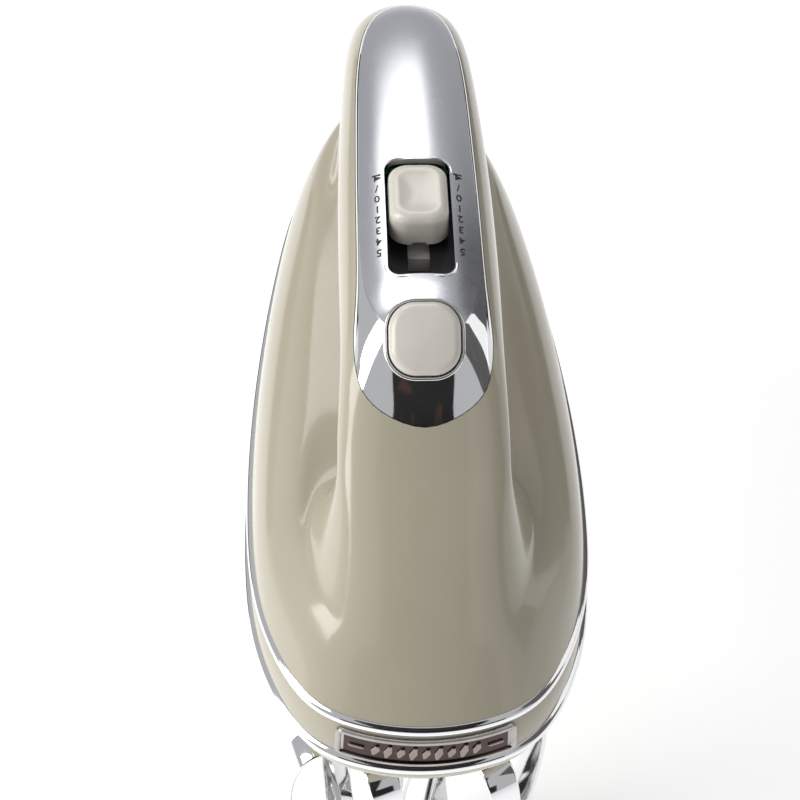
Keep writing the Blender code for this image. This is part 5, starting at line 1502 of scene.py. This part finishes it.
    def print_mark(self, printed: bmesh.types.BMesh, mark: str, place: Matrix) -> None:
        """Adds one mark to the scale.

        Args:
            printed: the scale's shape.
            mark: a figure, or the word for the eject mark.
            place: where it goes, its up towards local Y.
        """
        thickness = 0.05 * MM
        if mark == "eject":
            bar = sized(Vector((0.0, -0.95 * MM, 0.0)), (2.3 * MM, 0.45 * MM, 2 * thickness))
            bmesh.ops.create_cube(printed, size=1.0, matrix=place @ bar)
            flat = turned(Vector((0.0, 0.1 * MM, 0.0)), "Z") @ Matrix.Diagonal((0.8, 1.0, 1.0, 1.0))
            bmesh.ops.create_cone(
                printed, cap_ends=True, segments=3, radius1=1.3 * MM, radius2=1.3 * MM, depth=2 * thickness,
                matrix=place @ flat,
            )
            return
        curve = bpy.data.curves.new("mark", "FONT")
        curve.body = mark
        curve.size = self.mark_size
        curve.extrude = thickness
        curve.offset = 0.05 * MM
        curve.align_x, curve.align_y = "CENTER", "CENTER"
        text = bpy.data.objects.new("mark", curve)
        bpy.context.scene.collection.objects.link(text)
        depsgraph = bpy.context.evaluated_depsgraph_get()
        mesh = bpy.data.meshes.new_from_object(text.evaluated_get(depsgraph), depsgraph=depsgraph)
        mesh.transform(place)
        printed.from_mesh(mesh)
        bpy.data.objects.remove(text)
        bmesh.ops.remove_doubles(printed, verts=printed.verts, dist=MERGE)


@dataclass
class KeyPlace:
    """Where the turbo button sits: its origin on the cover, its directions and its size."""

    origin: Vector
    run: Vector
    out: Vector
    width: float
    length: float
    corner: float = 6.6 * MM
    proud: float = 3.6 * MM

    @classmethod
    def of_button(cls) -> "KeyPlace":
        """Reads the button's place from its node and from the joint that it presses along."""
        press = next(joint for joint in frame["joints"] if joint["name"] == "turbo_press")
        out = -Vector(press["axis"]).normalized()
        run = out.cross(SIDE).normalized()
        points = [vertex.co for vertex in frame["nodes"]["turbo_button"].data.vertices]
        runs = [point.dot(run) for point in points]
        top = max(point.dot(out) for point in points)
        low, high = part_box("turbo_button")
        middle = (min(runs) + max(runs)) / 2
        origin = run * middle + out * (top - cls.proud)
        return cls(origin, run, out, high.x - low.x, max(runs) - min(runs))

    def outline(self, growth: float) -> list[Vector]:
        """The button's outline in its own plane, grown by a distance on the whole."""
        return rounded_rectangle(self.width + growth, self.length + growth, self.corner + growth / 2, 10)

    def placed(self, outline: list[Vector], out: float) -> list[Vector]:
        """A flat outline, placed at a height over the cover along the press direction."""
        return [self.origin + SIDE * point.x + self.run * point.y + self.out * out for point in outline]


# ---------------------------------------------------------------- controls


@dataclass
class Controls(Assembly):
    """The speed knob, which also ejects the beaters, and the turbo button."""

    button: KeyPlace
    edge: float = 2.3 * MM
    button_edge: float = 2.2 * MM
    crown: float = 0.5 * MM
    dish: float = 0.75 * MM
    knob_height: float = 9.4 * MM
    knob_corner: float = 5.0 * MM
    least_corner: float = 1.0 * MM
    top_share: float = 0.86
    taper: float = 0.05
    notch: Triple = (3.4 * MM, 1.2 * MM, 1.6 * MM)
    rounds: int = 7
    top_rings: int = 8

    def build(self) -> None:
        """Makes both keys."""
        self.speed_knob()
        self.turbo_button()

    def speed_knob(self) -> None:
        """A rounded block with a dished top, a sloping back and a notch in the foot of its front."""
        low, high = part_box("speed_knob")
        foot = high.z - self.knob_height
        width, length = high.x - low.x, high.y - low.y
        centre = Vector(((low.x + high.x) / 2, (low.y + high.y) / 2))

        def ring(inset: float, z: float) -> list[Vector]:
            """A level outline, pulled back and in as it rises."""
            rise = (z - foot) / self.knob_height
            corner = max(self.knob_corner - 0.5 * inset, self.least_corner)
            outline = rounded_rectangle(width - 2 * inset, length - 2 * inset, corner, 10)
            made = []
            for point in outline:
                x = point.x * (1 - self.taper * rise)
                y = -length / 2 + (point.y + length / 2) * (1 - (1 - self.top_share) * rise)
                made.append(Vector((centre.x + x, centre.y + y, z)))
            return made

        rings = [ring(0.0, foot + share * self.knob_height) for share in (0.0, 0.3, 0.6)]
        for step in range(self.rounds + 1):
            angle = QUARTER * step / self.rounds
            inset = self.edge * (1 - math.cos(angle))
            rings.append(ring(inset, high.z - self.edge + self.edge * math.sin(angle)))
        flat = ring(self.edge, high.z)
        middle = sum(flat, Vector()) / len(flat)
        for step in range(1, self.top_rings):
            share = step / self.top_rings
            bowl = UP * (self.dish * (1 - (1 - share) ** 2))
            rings.append([middle.lerp(point, 1 - share) - bowl for point in flat])
        obj = new_object("speed_knob_cap", closed_up(loft(rings, capped=True)), 45.0)
        notch = bmesh.new()
        place = sized(Vector((centre.x, low.y, foot)), self.notch)
        bmesh.ops.create_cube(notch, size=1.0, matrix=place)
        carve(obj, notch, 45.0)
        self.show(obj, "eject_knob", Finishes.KEYS, ("speed_knob",))

    def turbo_button(self) -> None:
        """A pillowed key with soft edges."""
        place = self.button
        rings = [place.placed(place.outline(0.0), -3.4 * MM), place.placed(place.outline(0.0), 0.4 * MM)]
        top = place.proud - self.crown
        edge = self.button_edge
        for step in range(self.rounds + 1):
            angle = QUARTER * step / self.rounds
            inset = edge * (1 - math.cos(angle))
            outline = place.outline(-2 * inset)
            rings.append(place.placed(outline, top - edge + edge * math.sin(angle)))
        flat = place.outline(-2 * edge)
        for step in range(1, self.top_rings):
            share = step / self.top_rings
            shrunk = [point * (1 - share) for point in flat]
            rings.append(place.placed(shrunk, top + self.crown * (1 - (1 - share) ** 2)))
        obj = new_object("turbo_button_key", closed_up(loft(rings, capped=True)), 45.0)
        self.show(obj, "turbo_button", Finishes.KEYS, ("turbo_button",))


# ---------------------------------------------------------------- beaters


@dataclass
class Beater(Assembly):
    """One plug-in beater: a shaft with its collar and two flat loops set square to each other."""

    name: str
    loop_steps: int = 10
    strip_width: float = 9.0 * MM
    strip_thickness: float = 1.4 * MM
    stem_radius: float = 3.9 * MM
    collar_length: float = 26.0 * MM
    groove: float = 0.35 * MM
    collar_bottom: float = 0.0
    hub_height: float = 3.0 * MM

    def build(self) -> None:
        """Makes the stem and both loops of the beater."""
        low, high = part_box(f"beater_stem_{self.name}")
        self.axis = Vector(((low.x + high.x) / 2, (low.y + high.y) / 2, 0.0))
        self.collar_radius = (high.x - low.x) / 2
        self.collar_bottom = low.z + self.hub_height
        self.stem(low.z, high.z)
        for kind in ("outer", "inner"):
            self.loop(kind)

    def stem(self, low: float, high: float) -> None:
        """The shaft, its long collar with two shallow grooves, and the hub under it."""
        radius, bottom = self.collar_radius, self.collar_bottom
        top = bottom + self.collar_length
        profile = [(0.0, high), (0.6 * self.stem_radius, high), (self.stem_radius, high - 2.0 * MM)]
        profile += [(self.stem_radius, top), (0.86 * radius, top), (radius - 0.15 * MM, top - 0.3 * MM)]
        profile += [(radius, top - 0.8 * MM)]
        for share in (0.30, 0.72):
            level_z = top + (bottom - top) * share
            profile += [(radius, level_z), (radius - self.groove, level_z - 0.3 * MM)]
            profile += [(radius - self.groove, level_z - 0.7 * MM), (radius, level_z - 1.0 * MM)]
        profile += [(radius, bottom + 1.0 * MM), (radius - 0.3 * MM, bottom + 0.3 * MM)]
        profile += [(radius - 1.0 * MM, bottom), (0.45 * radius, low), (0.0, low)]
        obj = new_object(f"beater_shaft_{self.name}", spun(profile, self.axis, 72), 40.0)
        self.show(obj, f"beater_{self.name}", Finishes.CHROME, (f"beater_stem_{self.name}",))

    def loop(self, kind: str) -> None:
        """A flat strip bent into a loop, open at the top where it meets the collar."""
        node = f"beater_loop_{self.name}_{kind}"
        points = [vertex.co.copy() for vertex in frame["nodes"][node].data.vertices]
        top, bottom = max(point.z for point in points), min(point.z for point in points)
        heading = self.heading(points)
        across = Vector((-heading.y, heading.x, 0.0))
        reach = max(abs((point - self.axis).dot(heading)) for point in points) - self.strip_thickness / 2
        start = self.collar_radius + 0.3 * MM
        high, low = top - self.strip_thickness / 2 - 0.02 * MM, bottom + self.strip_thickness / 2
        shares = ((0.0, 0.0), (0.55, -0.01), (0.87, 0.06), (1.0, 0.2))
        shares += ((0.96, 0.45), (0.75, 0.75), (0.42, 0.94))
        half = [Vector((start + out * (reach - start), high - down * (high - low))) for out, down in shares]
        knots = half + [Vector((0.0, low))] + [Vector((-point.x, point.y)) for point in reversed(half)]
        route = smooth_line([2 * knots[0] - knots[1], *knots, 2 * knots[-1] - knots[-2]], self.loop_steps)
        section = rounded_rectangle(self.strip_width, self.strip_thickness, 0.45 * self.strip_thickness, 4)
        rings = []
        for index, point in enumerate(route):
            tangent = (route[min(index + 1, len(route) - 1)] - route[max(index - 1, 0)]).normalized()
            normal = Vector((-tangent.y, tangent.x))
            ring = []
            for corner in section:
                place = point + normal * corner.y
                ring.append(self.axis + heading * place.x + across * corner.x + UP * place.y)
            rings.append(ring)
        obj = new_object(f"beater_strip_{self.name}_{kind}", closed_up(loft(rings, capped=True)), 40.0)
        self.show(obj, f"beater_{self.name}", Finishes.CHROME, (node,))

    def heading(self, points: list[Vector]) -> Vector:
        """The level direction that a loop spreads in, from the lie of its points."""
        xx = sum((point.x - self.axis.x) ** 2 for point in points)
        yy = sum((point.y - self.axis.y) ** 2 for point in points)
        xy = sum((point.x - self.axis.x) * (point.y - self.axis.y) for point in points)
        angle = 0.5 * math.atan2(2 * xy, xx - yy)
        return Vector((math.cos(angle), math.sin(angle), 0.0))


# ---------------------------------------------------------------- works inside the casing


@dataclass
class Works(Assembly):
    """Motor, gears, eject gear and electrics, which keep the frame's own shapes and get their finishes."""

    def build(self) -> None:
        """Dresses every node that is still shown."""
        wear = {
            Finishes.STEEL: (
                "motor_shaft", "worm", "bearing_front", "bearing_rear", "spindle_left", "spindle_right",
                "eject_spring", "turbo_spring",
            ),
            Finishes.LAMINATIONS: (
                "motor_stator", "armature_core", "motor_bracket_front", "motor_bracket_rear",
            ),
            Finishes.WINDING: (
                "field_coil_upper", "field_coil_lower", "armature_winding_front", "armature_winding_rear",
            ),
            Finishes.BRASS: (
                "commutator", "brush_holder_left", "brush_holder_right",
                "spindle_bush_left", "spindle_bush_right",
            ),
            Finishes.CARBON: ("carbon_brush_left", "carbon_brush_right"),
            Finishes.NYLON: (
                "cooling_fan", "gearbox_base", "gearbox_top", "worm_wheel_left", "worm_wheel_right",
                "slider_carriage", "eject_bar", "eject_fork",
            ),
            Finishes.BLACK: (
                "slider_deck", "turbo_switch", "speed_switch", "suppressor_block", "brush_plate",
            ),
            Finishes.BOARD: ("control_board",),
        }
        for finish, names in wear.items():
            for name in names:
                mesh = frame["nodes"][name].data
                mesh.materials.clear()
                mesh.materials.append(finish.value.material())
                log.info("%s wears %s", name, finish.value.name)


# ---------------------------------------------------------------- studio


@dataclass
class Studio:
    """The floor, the lights and the camera."""

    aim: Vector = field(default_factory=lambda: Vector((-4.6 * MM, -44.7 * MM, -31.0 * MM)))
    distance: float = 590.4 * MM
    azimuth: float = -3.6
    elevation: float = 52.1
    roll: float = 1.96
    lens: float = 103.2

    def build(self) -> None:
        """Sets up the floor, the world, the lights and the camera."""
        self.floor()
        self.world()
        self.softbox("key_left", (-0.66, -0.20, 0.40), (0.40, 0.75), 5.0, (1.0, 0.99, 0.97))
        self.softbox("fill_right", (0.70, 0.05, 0.30), (0.25, 0.70), 0.5, (0.98, 0.99, 1.0))
        self.softbox("top_rear", (-0.12, 0.55, 0.70), (0.60, 0.40), 2.0, (1.0, 1.0, 1.0))
        self.flag("front_flag", Vector((0.0, -0.95, 0.08)), (1.25, 0.34))
        self.flag("high_flag", Vector((0.02, -0.75, 0.55)), (0.66, 0.80))
        self.flag("rear_left_flag", Vector((-0.70, 0.55, -0.12)), (0.60, 0.30))
        self.flag("rear_right_flag", Vector((0.70, 0.55, -0.12)), (0.60, 0.30))
        self.flag("right_wall", Vector((0.85, 0.05, 0.45)), (1.50, 1.00), 0.10, True)
        self.camera()

    def floor(self) -> None:
        """A wide pale floor under the beaters."""
        shape = bmesh.new()
        bmesh.ops.create_grid(shape, x_segments=1, y_segments=1, size=6.0)
        bmesh.ops.translate(shape, verts=shape.verts, vec=(0.0, 0.0, CAD_BOX[0].z - 0.5 * MM))
        obj = new_object("studio_floor", shape)
        graph = Graph("studio_floor_paper")
        tone = graph.noise(0.4, 2.0)
        paper = graph.colour(tone, (0.93, 0.93, 0.93), (0.95, 0.95, 0.95))
        graph.dress(
            {
                "Base Color": paper,
                "Roughness": 0.8,
                "Emission Color": (1.0, 1.0, 1.0, 1.0),
                "Emission Strength": 0.35,
            }
        )
        obj.data.materials.append(graph.material)

    def world(self) -> None:
        """An even pale sky."""
        world = bpy.data.worlds.new("studio_air")
        world.use_nodes = True
        bpy.context.scene.world = world
        tree = world.node_tree
        back = tree.nodes["Background"]
        back.inputs["Color"].default_value = (0.90, 0.91, 0.93, 1.0)
        back.inputs["Strength"].default_value = 0.55

    def softbox(
        self, name: str, place: Triple, size: Pair, power: float, tint: Triple
    ) -> None:
        """An even rectangular light that faces the mixer.

        Args:
            name: its name.
            place: where it stands.
            size: its width and height.
            power: its power in watts.
            tint: its colour.
        """
        light = bpy.data.lights.new(name, "AREA")
        light.shape = "RECTANGLE"
        light.size, light.size_y = size
        light.energy = power
        light.color = tint
        obj = bpy.data.objects.new(name, light)
        bpy.context.scene.collection.objects.link(obj)
        obj.location = place
        obj.rotation_mode = "QUATERNION"
        obj.rotation_quaternion = (Vector(place) - self.aim).to_track_quat("Z", "Y")
        obj.visible_camera = False

    def flag(
        self, name: str, place: Vector, size: tuple[float, float], grey: float = 0.008, shades: bool = False
    ) -> None:
        """A dark board beside the mixer, which the bright metal reflects.

        Args:
            name: its name.
            place: the middle of the board.
            size: its width and height.
            grey: how light it is.
            shades: whether it also keeps soft light off the mixer.
        """
        shape = bmesh.new()
        bmesh.ops.create_grid(shape, x_segments=1, y_segments=1, size=0.5)
        turn = (place - self.aim).to_track_quat("Z", "Y").to_matrix().to_4x4()
        shape.transform(Matrix.Translation(place) @ turn @ Matrix.Diagonal((*size, 1.0, 1.0)))
        obj = new_object(name, shape)
        graph = Graph(name + "_cloth")
        tone = graph.noise(0.10, 2.0, (1.0, 1.0, 0.25)).between(0.56, 0.70)
        dark, warm = (grey, grey, grey), (grey + 0.04, grey + 0.015, grey + 0.005)
        graph.dress({"Base Color": graph.colour(tone, dark, warm), "Roughness": 0.9})
        obj.data.materials.append(graph.material)
        obj.visible_camera = False
        obj.visible_shadow = False
        obj.visible_diffuse = shades

    def camera(self) -> None:
        """The camera: above the nose, looking back along the handle."""
        turn, rise = math.radians(self.azimuth), math.radians(self.elevation)
        back = Vector((math.sin(turn) * math.cos(rise), -math.cos(turn) * math.cos(rise), math.sin(rise)))
        data = bpy.data.cameras.new("studio_camera")
        data.lens = self.lens
        data.clip_start, data.clip_end = 0.05, 20.0
        obj = bpy.data.objects.new("studio_camera", data)
        bpy.context.scene.collection.objects.link(obj)
        right = Vector((math.cos(turn), math.sin(turn), 0.0))
        upward = back.cross(right)
        lean = math.radians(self.roll)
        side = right * math.cos(lean) + upward * math.sin(lean)
        top = upward * math.cos(lean) - right * math.sin(lean)
        rotation = Matrix((side, top, back)).transposed().to_4x4()
        obj.matrix_world = Matrix.Translation(self.aim + back * self.distance) @ rotation
        bpy.context.scene.camera = obj


# ---------------------------------------------------------------- assembly


def main() -> None:
    """Builds the mixer's looks in order."""
    logging.basicConfig(level=logging.INFO, format="%(message)s")
    skin = Skin()
    cover = HandleCover(skin)
    Casing(skin).build(cover.block)
    Nameplate(skin).build()
    cover.build()
    Controls(cover.button).build()
    for name in ("left", "right"):
        Beater(name).build()
    Works().build()
    Studio().build()
    bpy.context.scene.view_settings.view_transform = "Standard"


if __name__ == "__main__":
    main()
